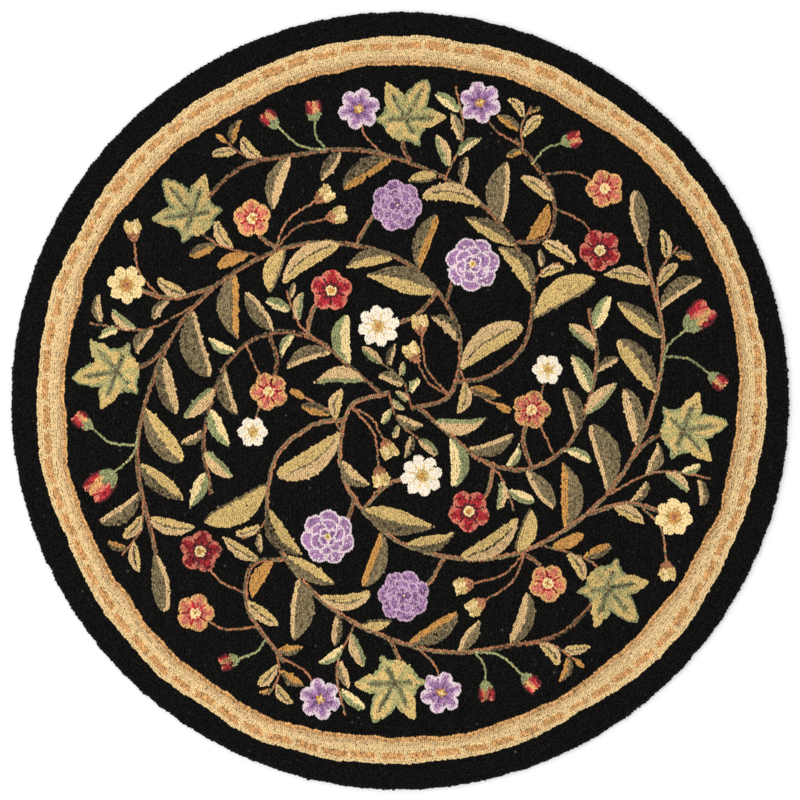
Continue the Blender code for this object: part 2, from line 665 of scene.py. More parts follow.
@dataclass
class Plan:
    """The rug's design on square cells: which motif and which yarn each cell belongs to."""

    half_mm: float
    row_mm: float
    cell_mm: float = 0.8
    waver_mm: float = 0.68
    waver_step_mm: float = 4.2
    waver_seed: int = 17
    stitch_share: float = 0.52
    fleck_share: float = 0.20
    fleck_points: int = 4
    motif: np.ndarray = field(init=False)
    yarn: np.ndarray = field(init=False)
    waver: np.ndarray = field(init=False)
    rows: list[Row] = field(default_factory=list)
    parts: list[Part] = field(default_factory=lambda: [Part.GROUND])

    def __post_init__(self) -> None:
        """Lay out the empty plan, all ground, and how far hand work strays from each of its cells."""
        count = int(math.ceil(2 * self.half_mm / self.cell_mm))
        self.motif = np.zeros((count, count), np.int32)
        self.yarn = np.full((count, count), Yarn.BLACK, np.int8)
        coarse = int(2 * self.half_mm / self.waver_step_mm) + 1
        stray = np.random.default_rng(self.waver_seed).normal(0.0, self.waver_mm, (coarse, coarse, 2))
        gaps = np.subtract.outer(np.linspace(0, coarse - 1, count), np.arange(coarse))
        spread = np.maximum(0, 1 - np.abs(gaps))
        self.waver = np.stack([spread @ stray[..., k] @ spread.T for k in (0, 1)], -1)

    def _new_motif(self, part: Part) -> int:
        """Number a new motif."""
        self.parts.append(part)
        return len(self.parts) - 1

    def are(self, *kinds: Part) -> np.ndarray:
        """Whether each motif belongs to one of some parts of the rug."""
        return np.array([part in kinds for part in self.parts])

    def cells(self, points: Points) -> tuple[np.ndarray, np.ndarray]:
        """Find the cells under some places.

        Args:
            points: The places in mm.

        Returns:
            The row and the column of the cell under each.
        """
        found = np.floor((points + self.half_mm) / self.cell_mm).astype(int)
        found = found.clip(0, len(self.motif) - 1)
        return found[..., 1], found[..., 0]

    def window(self, middle: Place, reach_mm: float) -> Window:
        """Cut out the square part of the plan round a place.

        Args:
            middle: The place in mm.
            reach_mm: How far the square goes from it, to each side.

        Returns:
            The part of the plan, with its cells where they land once they are hooked by hand.
        """
        low = [max(int((m - reach_mm + self.half_mm) / self.cell_mm), 0) for m in middle]
        high = [
            min(int((m + reach_mm + self.half_mm) / self.cell_mm) + 1, len(self.motif)) for m in middle
        ]
        x, y = ((np.arange(a, b) + 0.5) * self.cell_mm - self.half_mm for a, b in zip(low, high))
        grid_x, grid_y = np.meshgrid(x, y)
        rows, columns = slice(low[1], high[1]), slice(low[0], high[0])
        stray = self.waver[rows, columns]
        return Window(rows, columns, grid_x + stray[..., 0], grid_y + stray[..., 1])

    def whole(self) -> Window:
        """The whole plan."""
        return self.window((0.0, 0.0), self.half_mm)

    def hooked(self, points: Points) -> Points:
        """Where drawn points land once they are hooked by hand."""
        return points - self.waver[self.cells(points)]

    def claim(self, window: Window, covered: np.ndarray, yarn: np.ndarray, part: Part) -> int:
        """Give cells to a new motif.

        Args:
            window: The part of the plan that the motif lies in.
            covered: Which of the window's cells it covers.
            yarn: The yarn for each of the window's cells.
            part: The part of the rug that it belongs to.

        Returns:
            The motif's number.
        """
        motif = self._new_motif(part)
        self.motif[window.rows, window.columns][covered] = motif
        self.yarn[window.rows, window.columns][covered] = yarn[covered]
        return motif

    def stitch(
        self, points: Points, yarn: Yarn, part: Part, motif: int = 0, fleck: Yarn | None = None
    ) -> int:
        """Draw one row of loops over whatever is there.

        Args:
            points: The row's line in mm, with points about 1 mm apart.
            yarn: The yarn that it is hooked in.
            part: The part of the rug that it belongs to.
            motif: The motif that it joins, or 0 for a new one.
            fleck: The yarn of single loops here and there, if any.

        Returns:
            The motif's number.
        """
        motif = motif or self._new_motif(part)
        dyed = np.full(len(points), yarn)
        if fleck is not None:
            luck = np.random.default_rng(motif)
            flecked = luck.random(len(points) // self.fleck_points + 1) < self.fleck_share
            dyed[np.repeat(flecked, self.fleck_points)[: len(points)]] = fleck
        down, across = disc(self.stitch_share * self.row_mm / self.cell_mm)
        at_row, at_column = self.cells(self.hooked(points))
        rows = (at_row[:, None] + down).clip(0, len(self.motif) - 1)
        columns = (at_column[:, None] + across).clip(0, len(self.motif) - 1)
        self.motif[rows, columns] = motif
        self.yarn[rows, columns] = dyed[:, None]
        self.rows.append(Row(points, motif))
        return motif

    def clash(self, window: Window, covered: np.ndarray, allowed: set[int]) -> float:
        """Measure how much of some cells other motifs already hold.

        Args:
            window: The part of the plan that the cells lie in.
            covered: Which of the window's cells they are.
            allowed: The motifs that don't count.

        Returns:
            The share of the cells that are held, or 1 if there are no cells.
        """
        held = self.motif[window.rows, window.columns][covered]
        if not len(held):
            return 1.0
        return float(np.mean((held > 0) & ~np.isin(held, list(allowed))))


# --------------------------------------------------------------------------- motifs


@dataclass(frozen=True)
class LeafDress:
    """The yarns of a leaf, looking along it: its left and right half, its left edge and its midrib."""

    left: Yarn
    right: Yarn
    edge: Yarn | None = None
    midrib: Yarn | None = None
    edge_rows: float = 1.8


class LeafLook(Enum):
    """The ways in which leaves and petals are coloured."""

    OLIVE_EDGED = LeafDress(Yarn.OLIVE, Yarn.OLIVE, Yarn.HONEY)
    OLIVE_HALF = LeafDress(Yarn.GOLD, Yarn.OLIVE)
    HONEY_HALF = LeafDress(Yarn.HONEY, Yarn.OLIVE)
    GOLD_VEINED = LeafDress(Yarn.GOLD, Yarn.HONEY, None, Yarn.OLIVE)
    GOLD_TIPPED = LeafDress(Yarn.GOLD, Yarn.GOLD, Yarn.OLIVE, None, 1.0)
    AMBER_EDGED = LeafDress(Yarn.OLIVE, Yarn.OLIVE, Yarn.AMBER, None, 2.6)
    AMBER = LeafDress(Yarn.AMBER, Yarn.AMBER)
    GREEN_EDGED = LeafDress(Yarn.HONEY, Yarn.HONEY, Yarn.GREEN, None, 1.7)
    GREEN_HALF = LeafDress(Yarn.STRAW, Yarn.GREEN)
    GREEN = LeafDress(Yarn.GREEN, Yarn.GREEN)
    RED_PETAL = LeafDress(Yarn.RED, Yarn.CORAL, Yarn.MAROON, None, 1.0)
    CORAL_PETAL = LeafDress(Yarn.CORAL, Yarn.TAN, Yarn.RED, None, 1.0)
    STRAW_PETAL = LeafDress(Yarn.GOLD, Yarn.STRAW)
    RUST_SEPAL = LeafDress(Yarn.RUST, Yarn.RUST)


@dataclass(frozen=True)
class LanceLeaf:
    """A long leaf, petal or sepal, with its colours in two halves, along one edge and down the midrib."""

    base_mm: tuple[float, float]
    aim_deg: float
    length_mm: float
    breadth_mm: float
    look: LeafLook
    edge_side: int = 1
    bend_mm: float = 0.0
    widest: float = 0.52
    bluntness: float = 0.66
    wobble_mm: float = 0.6
    crowded_base: float = 0.16
    clash_limit: float = 0.003
    midrib_run: tuple[float, float] = (0.12, 0.84)
    bend_room_mm: float = 8.0

    def _half(self, share: np.ndarray, breadth_mm: float) -> np.ndarray:
        """Work out half of the leaf's breadth along it.

        Args:
            share: Shares of its length, from its base.
            breadth_mm: Its breadth where it is widest.

        Returns:
            Half its breadth in mm at each of them.
        """
        rise = self.bluntness
        fall = self.bluntness * (1 - self.widest) / self.widest
        return breadth_mm / 2 * (share / self.widest) ** rise * ((1 - share) / (1 - self.widest)) ** fall

    def _lay(self, window: Window, margin_mm: float = 0.0) -> tuple[np.ndarray, ...]:
        """Measure a window's cells against the leaf.

        Args:
            window: The part of the plan.
            margin_mm: How much larger than itself the leaf is taken all round.

        Returns:
            Which cells it covers, each cell's distance to the left of its midrib, its distance
            within the leaf's outline, and its share of the way along.
        """
        along_way, left_way = heading(self.aim_deg), heading(self.aim_deg + 90)
        dx, dy = window.x - self.base_mm[0], window.y - self.base_mm[1]
        along = dx * along_way[0] + dy * along_way[1]
        across = dx * left_way[0] + dy * left_way[1]
        share = along / self.length_mm
        left = across - 4 * self.bend_mm * share * (1 - share)
        grown = (along + margin_mm) / (self.length_mm + 2 * margin_mm)
        inside = (grown > 0) & (grown < 1)
        depth = self._half(grown.clip(1e-6, 1 - 1e-6), self.breadth_mm + 2 * margin_mm) - np.abs(left)
        if not margin_mm:
            # Two waves along the leaf keep its edges from being as even as a drawn line.
            waves = ((0.8, self.aim_deg), (0.41, 2.0 * self.length_mm))
            depth += sum(self.wobble_mm * np.sin(rate * along + start) for rate, start in waves)
        return inside & (depth > 0), left, depth, share

    def window(self, plan: Plan) -> Window:
        """The part of the plan that holds the leaf."""
        middle = np.array(self.base_mm) + heading(self.aim_deg) * self.length_mm / 2
        return plan.window(middle, (self.length_mm + self.breadth_mm) / 2 + self.bend_room_mm)

    def fits(self, plan: Plan, allowed: set[int], gap_mm: float, limit_mm: float) -> bool:
        """Whether the leaf keeps clear of other motifs and of the border.

        Args:
            plan: The plan it would be drawn on.
            allowed: Motifs that it may touch, such as its own stem.
            gap_mm: The ground that shows between it and any other motif.
            limit_mm: How far from the rug's middle it may reach.

        Returns:
            True if it can be drawn there.
        """
        window = self.window(plan)
        covered, _, _, share = self._lay(window, gap_mm)
        reach = np.hypot(window.x, window.y)[covered]
        if not len(reach) or reach.max() > limit_mm:
            return False
        # Near its base a leaf may come close to the stem's other leaves.
        return plan.clash(window, covered & (share > self.crowded_base), allowed) < self.clash_limit

    def draw(self, plan: Plan) -> None:
        """Claim the leaf's cells and lay its rows along it.

        Args:
            plan: The plan to draw on.
        """
        window = self.window(plan)
        covered, left, depth, share = self._lay(window)
        dress = self.look.value
        own_side = left * self.edge_side > 0
        yarn = np.where(own_side, dress.left, dress.right)
        if dress.edge is not None:
            # The edge is broadest about halfway along and narrows to both ends.
            taper = (1.25 - 0.5 * np.abs(share - 0.55)) * dress.edge_rows * plan.row_mm
            yarn[own_side & (depth < taper)] = dress.edge
        motif = plan.claim(window, covered, yarn, Part.LEAF)
        share = np.arange(0.0, self.length_mm, 1.0) / self.length_mm
        left_way = heading(self.aim_deg + 90)
        spine = straight(self.base_mm, self.length_mm, self.aim_deg)
        spine += np.outer(4 * self.bend_mm * share * (1 - share), left_way)
        half = self._half(share.clip(0.01, 0.99), self.breadth_mm)
        # The rows follow the edges and close up towards the leaf's ends.
        for side in (-1, 1):
            for k in range(int(self.breadth_mm / 2 / plan.row_mm) + 1):
                offset = half - (k + 0.5) * plan.row_mm
                kept = offset > 0.3 * plan.row_mm
                if kept.sum() > 3:
                    plan.rows.append(Row((spine + np.outer(side * offset, left_way))[kept], motif))
        if dress.midrib is not None:
            first, last = self.midrib_run
            plan.stitch(spine[(share > first) & (share < last)], dress.midrib, Part.LEAF)


@dataclass(frozen=True)
class Blossom:
    """A flower seen from its front: petals round a heart, hooked in rings that follow its outline."""

    radius_mm: float
    petals: int
    notch: float
    fullness: float
    zones: tuple[tuple[float, Yarn], ...]
    heart_mm: float
    heart: tuple[Yarn, ...]
    parting: Yarn
    flare: float = 0.25

    def _outline(self, angle: np.ndarray, turn: float) -> np.ndarray:
        """The flower's radius in mm at each angle."""
        petal = np.abs(np.cos(self.petals * (angle - turn) / 2)) ** self.fullness
        return self.radius_mm * (1 - self.notch * (1 - petal))

    def draw(self, plan: Plan, middle: Place, turn_deg: float) -> None:
        """Claim the flower's cells, lay its rings and part its petals.

        Args:
            plan: The plan to draw on.
            middle: The flower's middle in mm.
            turn_deg: The direction of its first petal.
        """
        turn = math.radians(turn_deg)
        window = plan.window(middle, self.radius_mm + MOTIF_ROOM_MM)
        angle, reach = window.around(middle)
        share = reach / self._outline(angle, turn)
        # The zones' borders bulge with the petals, but not in the heart or at the outline.
        lobe = np.cos(self.petals * (angle - turn))
        depth = share * (1 - self.flare * lobe * (share > 0.15) * (share < 0.95))
        yarn = np.full(share.shape, self.zones[-1][1], np.int8)
        for limit, dyed in reversed(self.zones):
            yarn[depth < limit] = dyed
        for k, dyed in reversed(list(enumerate(self.heart))):
            yarn[reach < (k + 1) * (self.heart_mm / len(self.heart))] = dyed
        motif = plan.claim(window, share < 1, yarn, Part.BLOOM)
        round_it = full_turn(int(RING_DENSITY * self.radius_mm))
        for k in range(int(self.radius_mm / plan.row_mm) + 1):
            scale = 1 - (k + 0.5) * plan.row_mm / self.radius_mm
            if scale > 0:
                plan.rows.append(Row(ring(round_it, self._outline(round_it, turn) * scale, middle), motif))
        # One row between each two petals, from the heart to the notch.
        for k in range(self.petals):
            between = turn + (2 * k + 1) * math.pi / self.petals
            notch_mm = float(self._outline(np.array(between), turn))
            run = np.arange(self.heart_mm + 1.0, notch_mm - 1.0, 1.0)
            if len(run) > 2:
                way = np.array([math.cos(between), math.sin(between)])
                plan.stitch(np.array(middle) + np.outer(run, way), self.parting, Part.BLOOM)


@dataclass(frozen=True)
class FullBloom:
    """A many-petalled round flower, such as a ranunculus: rings of round petals that overlap.

    Each ring has its number of petals, how far out they are and how large, as shares of the radius.
    """

    radius_mm: float
    throat: tuple[Yarn, ...]
    petal: Yarn
    lip: Yarn
    eye: tuple[Yarn, ...]
    rings: tuple[tuple[int, float, float], ...] = ((7, 0.60, 0.42), (6, 0.36, 0.34), (4, 0.16, 0.22))
    eye_share: float = 0.13
    shade_share: float = 0.15
    strewn_mm: float = 3.4
    strewn: tuple[float, float, float] = (0.20, 0.70, 0.10)

    def draw(self, plan: Plan, middle: Place, turn_deg: float) -> None:
        """Claim the flower's cells petal by petal, from the outermost ring in, and then its eye's.

        Args:
            plan: The plan to draw on.
            middle: The flower's middle in mm.
            turn_deg: The direction of its first petal.
        """
        for number, (count, far, size) in enumerate(self.rings):
            for k in range(count):
                turn = turn_deg + (k + 0.4 * number) * 360 / count
                self._petal(plan, np.array(middle), turn, far, size)
        reach_mm = self.eye_share * self.radius_mm
        window = plan.window(middle, reach_mm + MOTIF_ROOM_MM)
        share = window.around(middle)[1] / reach_mm
        yarn = np.array(self.eye, np.int8)[(share * len(self.eye)).astype(int).clip(0, len(self.eye) - 1)]
        self._rings(plan, middle, reach_mm, plan.claim(window, share < 1, yarn, Part.BLOOM))

    def _petal(self, plan: Plan, middle: np.ndarray, turn_deg: float, far: float, size: float) -> None:
        """Draw one petal: dark towards the flower's middle, with a lip of another shade.

        Args:
            plan: The plan to draw on.
            middle: The flower's middle in mm.
            turn_deg: The direction of the petal from there.
            far: The distance of the petal's own middle, as a share of the flower's radius.
            size: The petal's radius, as a share of the flower's.
        """
        at = middle + heading(turn_deg) * far * self.radius_mm
        reach_mm = size * self.radius_mm
        window = plan.window(at, reach_mm + MOTIF_ROOM_MM)
        from_middle = window.around(middle)[1] / self.radius_mm
        inside = reach_mm - window.around(at)[1]
        luck = np.random.default_rng(int(abs(at[0]) * 10))
        # Loops of the next shade are strewn through each, as in heather-mixed yarn.
        strewn = luck.choice((-1, 0, 1), (40, 40), p=self.strewn)
        spots = [
            ((v - v.min()) / self.strewn_mm).astype(int).clip(0, len(strewn) - 1)
            for v in (window.x, window.y)
        ]
        picked = ((from_middle - (far - size)) / self.shade_share).astype(int).clip(0, len(self.throat))
        picked = (picked + strewn[spots[0], spots[1]]).clip(0, len(self.throat) + 1)
        yarn = np.array((*self.throat, self.petal, self.lip), np.int8)[picked]
        yarn[(inside < plan.row_mm) & (from_middle > far - 0.05)] = self.lip
        self._rings(plan, at, reach_mm, plan.claim(window, inside > 0, yarn, Part.BLOOM))

    @staticmethod
    def _rings(plan: Plan, at: Place, reach_mm: float, motif: int) -> None:
        """Lay the rows of a petal or an eye, from its edge to its middle.

        Args:
            plan: The plan to draw on.
            at: Its middle in mm.
            reach_mm: Its radius.
            motif: Its motif.
        """
        round_it = full_turn(max(int(RING_DENSITY * reach_mm), 12))
        for k in range(int(reach_mm / plan.row_mm)):
            plan.rows.append(Row(ring(round_it, reach_mm - (k + 0.5) * plan.row_mm, at), motif))


@dataclass(frozen=True)
class VineLeaf:
    """A broad leaf with five pointed lobes, veined in brown and green, with green along its edges.

    Each lobe has its direction from the middle one, its length as a share of the leaf's reach, and
    half its spread in degrees.
    """

    reach_mm: float
    inside: Yarn = Yarn.GOLD
    shaded: Yarn = Yarn.KHAKI
    green: Yarn = Yarn.GREEN
    vein: Yarn = Yarn.OLIVE
    lobes: tuple[tuple[float, float, float], ...] = (
        (0.0, 1.00, 34.0), (58.0, 0.88, 32.0), (-58.0, 0.88, 32.0), (122.0, 0.64, 34.0), (-122.0, 0.64, 34.0),
    )
    web: float = 0.46
    teeth: float = 0.035
    teeth_count: int = 11

    def _outline(self, angle: np.ndarray, aim: float) -> np.ndarray:
        """Work out the leaf's outline.

        Args:
            angle: Directions from its stalk's end, in radians.
            aim: The direction of its middle lobe.

        Returns:
            Its radius in mm in each of them.
        """
        edge = np.full(angle.shape, self.web)
        for at_deg, size, spread_deg in self.lobes:
            off = np.abs((angle - aim - math.radians(at_deg) + math.pi) % FULL_TURN - math.pi)
            off = (off / math.radians(spread_deg)).clip(0, 1)
            edge = np.maximum(edge, size * (1 - 0.58 * off**0.9))
        return self.reach_mm * (edge + self.teeth * np.abs(np.sin(self.teeth_count * (angle - aim))))

    def draw(self, plan: Plan, middle: Place, aim_deg: float) -> None:
        """Claim the leaf's cells, lay its rings and draw its veins.

        Args:
            plan: The plan to draw on.
            middle: Where the stalk meets the leaf, in mm.
            aim_deg: The direction of its middle lobe.
        """
        aim = math.radians(aim_deg)
        window = plan.window(middle, 1.1 * self.reach_mm)
        angle, reach = window.around(middle)
        edge = self._outline(angle, aim)
        share = reach / edge
        # Shaded wedges in the leaf, and green along most of its edge: waves in the angle place both.
        yarn = np.full(share.shape, self.inside, np.int8)
        yarn[(share > 0.30) & (np.sin(5.3 * (angle - aim) + 0.4) > 0.25)] = self.shaded
        sunny = np.sin(2.9 * (angle - aim) + 1.0) > -0.25
        yarn[(share > 1 - 1.3 * plan.row_mm / edge) & sunny] = self.green
        motif = plan.claim(window, share < 1, yarn, Part.LEAF)
        round_it = full_turn(int(RING_DENSITY * self.reach_mm))
        outline = self._outline(round_it, aim)
        for k in range(int(self.reach_mm / plan.row_mm) + 1):
            reach = (outline - (k + 0.5) * plan.row_mm * outline / (0.8 * self.reach_mm)).clip(0.5)
            if reach.max() > 1:
                plan.rows.append(Row(evenly(ring(round_it, reach, middle)), motif))
        # Two green rows along each lobe, short of its tip, and then the vein between them.
        for short, kept, sides, dyed in ((0.16, 0.78, (-1, 1), self.green), (0.26, 1.0, (0,), self.vein)):
            for at_deg, size, _ in self.lobes:
                line = straight(middle, (size - short) * self.reach_mm, aim_deg + at_deg)
                line = line[: int(kept * len(line))]
                for side in sides:
                    plan.stitch(beside(line, side * plan.row_mm), dyed, Part.LEAF)


@dataclass(frozen=True)
class Bud:
    """A closed bud: two side petals and a front one, in a cup of sepals."""

    length_mm: float
    side: LeafLook = LeafLook.RED_PETAL
    front: LeafLook = LeafLook.CORAL_PETAL
    cup: LeafLook = LeafLook.GREEN

    def draw(self, plan: Plan, middle: Place, aim_deg: float) -> None:
        """Draw the bud with its base at a place.

        Args:
            plan: The plan to draw on.
            middle: The bud's base in mm.
            aim_deg: The direction that it points in.
        """
        base = (float(middle[0]), float(middle[1]))
        # Columns: the lean from the bud's own direction, length and breadth as shares of the bud's
        # length, the look, and the side that is edged.
        petals = (
            (15.0, 0.94, 0.46, self.side, 1),
            (-15.0, 0.94, 0.46, self.side, -1),
            (0.0, 0.88, 0.40, self.front, 1),
            *((lean, 0.44, 0.20, self.cup, 1) for lean in (-36.0, 0.0, 36.0)),
        )
        for lean, long, broad, look, edged in petals:
            size = (long * self.length_mm, broad * self.length_mm)
            LanceLeaf(base, aim_deg + lean, *size, look, edged).draw(plan)


Head = Blossom | FullBloom | VineLeaf | Bud

RED_ROSE = Blossom(
    33.0, 5, 0.30, 0.55,
    ((0.36, Yarn.MAROON), (0.72, Yarn.RED), (1.0, Yarn.CORAL)),
    8.0, (Yarn.AMBER, Yarn.STRAW), Yarn.MAROON,
)
CORAL_ROSE = replace(
    RED_ROSE,
    radius_mm=30.0,
    zones=((0.34, Yarn.RED), (0.66, Yarn.CORAL), (1.0, Yarn.TAN)),
    parting=Yarn.RED,
)
LILAC_FLOWER = Blossom(
    33.0, 6, 0.36, 0.60,
    ((0.40, Yarn.PURPLE), (0.60, Yarn.VIOLET), (0.76, Yarn.LAVENDER), (1.0, Yarn.LILAC)),
    7.0, (Yarn.STRAW, Yarn.AMBER), Yarn.VIOLET,
)
WHITE_DAISY = Blossom(
    33.0, 8, 0.34, 0.70,
    ((0.30, Yarn.STRAW), (1.0, Yarn.WHITE)),
    10.0, (Yarn.AMBER, Yarn.GOLD), Yarn.STRAW, 0.1,
)
CREAM_DAISY = replace(
    WHITE_DAISY,
    radius_mm=30.0,
    petals=7,
    zones=((0.40, Yarn.GOLD), (1.0, Yarn.STRAW)),
    heart=(Yarn.RUST, Yarn.AMBER),
    parting=Yarn.GOLD,
)
SMALL_DAISY = replace(WHITE_DAISY, radius_mm=24.0, petals=6, heart_mm=8.0)
VIOLET_BLOOM = FullBloom(
    42.0, (Yarn.PURPLE, Yarn.PURPLE, Yarn.VIOLET), Yarn.VIOLET, Yarn.LILAC, (Yarn.AMBER, Yarn.STRAW)
)
PURPLE_BLOOM = FullBloom(
    40.0, (Yarn.PURPLE, Yarn.PURPLE), Yarn.VIOLET, Yarn.LAVENDER, (Yarn.STRAW, Yarn.PURPLE)
)
ROSEBUD = Bud(60.0)
SMALL_BUD = Bud(36.0)
TAN_BUD = Bud(36.0, LeafLook.STRAW_PETAL, LeafLook.STRAW_PETAL, LeafLook.RUST_SEPAL)
VINE_LEAF = VineLeaf(72.0)


# --------------------------------------------------------------------------- stems and what they carry


class StemLook(Enum):
    """The rows of a stem from its left to its right: the yarn of each and its fleck."""

    BRANCH = ((Yarn.RUST, Yarn.OLIVE), (Yarn.OLIVE, Yarn.RUST))
    TWIG = ((Yarn.RUST, Yarn.OLIVE),)
    SHOOT = ((Yarn.GREEN, Yarn.KHAKI),)


@dataclass(frozen=True)
class Foliage:
    """The leaves along a stem: how many, how large and how they stand."""

    count: int
    longest_mm: float
    shortest_mm: float
    looks: tuple[LeafLook, ...]
    breadth: float = 0.33
    lean_deg: float = 44.0
    first: float = 0.04
    last: float = 0.97

    def stations(self) -> Iterator[tuple[float, int, LeafLook]]:
        """Place the leaves: one at the stem's end, and the others left and right of it by turns.

        Returns:
            Each leaf's share of the way along the stem, its side and its look.
        """
        yield 1.0, 0, self.looks[0]
        for k in range(self.count):
            share = self.first + (self.last - self.first) * (k + 0.5) / self.count
            yield share, 1 - 2 * (k % 2), self.looks[k % len(self.looks)]


@dataclass(frozen=True)
class Shoot:
    """A stem: where it runs and what it leaves, the head at its end, its yarns and its leaves."""

    name: str
    route: tuple[tuple[float, float], ...]
    parent: str = ""
    fork: float = 0.0
    head: Head | None = None
    head_turn_deg: float | None = None
    look: StemLook = StemLook.BRANCH
    leaves: Foliage | None = None
    bow: float = 0.14


def spray(
    name: str, parent: str, fork: float, ends: Sequence[Place], head: Head, look: StemLook = StemLook.SHOOT
) -> tuple[Shoot, ...]:
    """Several thin stems that leave one place, each with the same kind of head."""
    return tuple(Shoot(f"{name}_{k}", (end,), parent, fork, head, look=look) for k, end in enumerate(ends))


def sprig(name: str, parent: str, fork: float, end: Place, leaves: Foliage, bow: float = 0.14) -> Shoot:
    """A thin side stem with leaves of its own."""
    return Shoot(name, (end,), parent, fork, look=StemLook.TWIG, leaves=leaves, bow=bow)


WOOD_LEAVES = (
    LeafLook.OLIVE_EDGED,
    LeafLook.GOLD_VEINED,
    LeafLook.HONEY_HALF,
    LeafLook.GOLD_TIPPED,
    LeafLook.OLIVE_HALF,
    LeafLook.AMBER_EDGED,
    LeafLook.OLIVE_HALF,
)
FRESH_LEAVES = (LeafLook.GREEN_EDGED, LeafLook.GREEN_HALF, LeafLook.OLIVE_EDGED)
AUTUMN_LEAVES = (LeafLook.AMBER, LeafLook.GOLD_VEINED, LeafLook.AMBER_EDGED)
FRESH_SPRIG = Foliage(6, 54, 44, FRESH_LEAVES, 0.36)
AUTUMN_SPRIG = Foliage(6, 50, 40, AUTUMN_LEAVES, 0.40)
WOOD_SPRIG = Foliage(5, 62, 50, WOOD_LEAVES)

# One half of the design. The other half is the same, turned half a turn, and a parent's name that
# ends in _2 is there. Routes are polar places: distance from the middle in mm, and direction in
# degrees. After a stem's route come its parent, the share of the way along it at which the stem
# leaves, the head and the head's turn.
SHOOTS = (
    Shoot(
        "great_arm",
        ((22, 325), (82, 10), (152, 55), (226, 92), (298, 126), (360, 158), (415, 188), (452, 212)),
        leaves=Foliage(23, 120, 88, WOOD_LEAVES),
    ),
    Shoot(
        "second_arm",
        ((148, 196), (220, 206), (288, 226), (343, 252), (396, 278), (436, 300)),
        "great_arm_2",
        0.08,
        leaves=Foliage(17, 116, 86, WOOD_LEAVES),
    ),
    Shoot(
        "inner_spray",
        ((92, 146), (160, 144), (228, 152), (278, 168), (312, 190), (330, 206)),
        "great_arm_2",
        0.01,
        leaves=Foliage(14, 76, 60, FRESH_LEAVES),
    ),
    Shoot(
        "outer_spray",
        ((348, 228), (404, 234), (448, 246)),
        "second_arm",
        0.40,
        leaves=Foliage(9, 70, 50, AUTUMN_LEAVES),
    ),
    Shoot("bloom_a", ((242, 62),), "great_arm", 0.20, VIOLET_BLOOM, 60),
    Shoot("bloom_b", ((306, 91),), "great_arm", 0.36, PURPLE_BLOOM, 200),
    Shoot("daisy", ((122, 106),), "great_arm", 0.22, WHITE_DAISY, 10),
    Shoot("red_a", ((204, 122),), "inner_spray", 0.30, RED_ROSE, 15),
    Shoot("coral_a", ((206, 176),), "inner_spray", 0.42, CORAL_ROSE, 40),
    Shoot("red_b", ((392, 217),), "outer_spray", 0.45, RED_ROSE, 80, StemLook.TWIG),
    Shoot("coral_b", ((462, 226),), "outer_spray", 0.70, CORAL_ROSE, 0, StemLook.TWIG),
    Shoot("cream", ((466, 157),), "great_arm", 0.58, CREAM_DAISY, 15, leaves=WOOD_SPRIG),
    Shoot("coral_c", ((368, 129),), "great_arm", 0.47, CORAL_ROSE, 25),
    Shoot("lilac", ((462, 98),), "second_arm_2", 0.74, LILAC_FLOWER, 15, StemLook.TWIG),
    Shoot("lilac_b", ((484, 255),), "outer_spray", 0.96, LILAC_FLOWER, 40, StemLook.TWIG),
    Shoot("vine_a", ((446, 174),), "great_arm", 0.68, VINE_LEAF, 190),
    Shoot("vine_b", ((442, 269),), "second_arm", 0.68, VINE_LEAF, 240),
    Shoot("vine_c", ((438, 318),), "second_arm", 0.90, VINE_LEAF, 310, bow=-0.14),
    Shoot("bud_a", ((460, 194),), "great_arm", 0.82, ROSEBUD, look=StemLook.SHOOT),
    Shoot("cream_b", ((236, 192),), "inner_spray", 0.50, SMALL_DAISY, 0, StemLook.TWIG),
    *spray("buds_b", "second_arm", 0.86, ((458, 287), (470, 294)), SMALL_BUD),
    *spray("buds_d", "great_arm", 0.06, ((66, 66), (108, 72)), TAN_BUD, StemLook.TWIG),
    *spray("buds_e", "outer_spray", 0.80, ((476, 238),), SMALL_BUD),
    *spray("buds_f", "great_arm", 0.48, ((340, 113), (308, 112)), TAN_BUD, StemLook.TWIG),
    sprig("sprig_a", "great_arm", 0.50, (478, 138), AUTUMN_SPRIG),
    sprig("sprig_b", "inner_spray", 0.22, (248, 136), FRESH_SPRIG),
    sprig("sprig_c", "second_arm", 0.97, (490, 304), AUTUMN_SPRIG),
    sprig("sprig_d", "great_arm_2", 0.10, (150, 178), AUTUMN_SPRIG, -0.14),
    sprig("sprig_e", "second_arm", 0.30, (330, 221), WOOD_SPRIG),
    sprig("sprig_f", "great_arm", 0.92, (498, 209), AUTUMN_SPRIG),
    sprig("sprig_g", "great_arm", 0.0, (66, 116), FRESH_SPRIG, -0.14),
    sprig("sprig_h", "second_arm", 0.60, (500, 260), FRESH_SPRIG, -0.14),
    sprig("sprig_i", "outer_spray", 0.92, (504, 246), AUTUMN_SPRIG),
    sprig("sprig_j", "great_arm", 0.62, (502, 166), FRESH_SPRIG),
    *spray("buds_g", "cream", 0.62, ((486, 149),), TAN_BUD, StemLook.TWIG),
    *spray("buds_h", "bud_a", 0.30, ((486, 185),), SMALL_BUD),
)


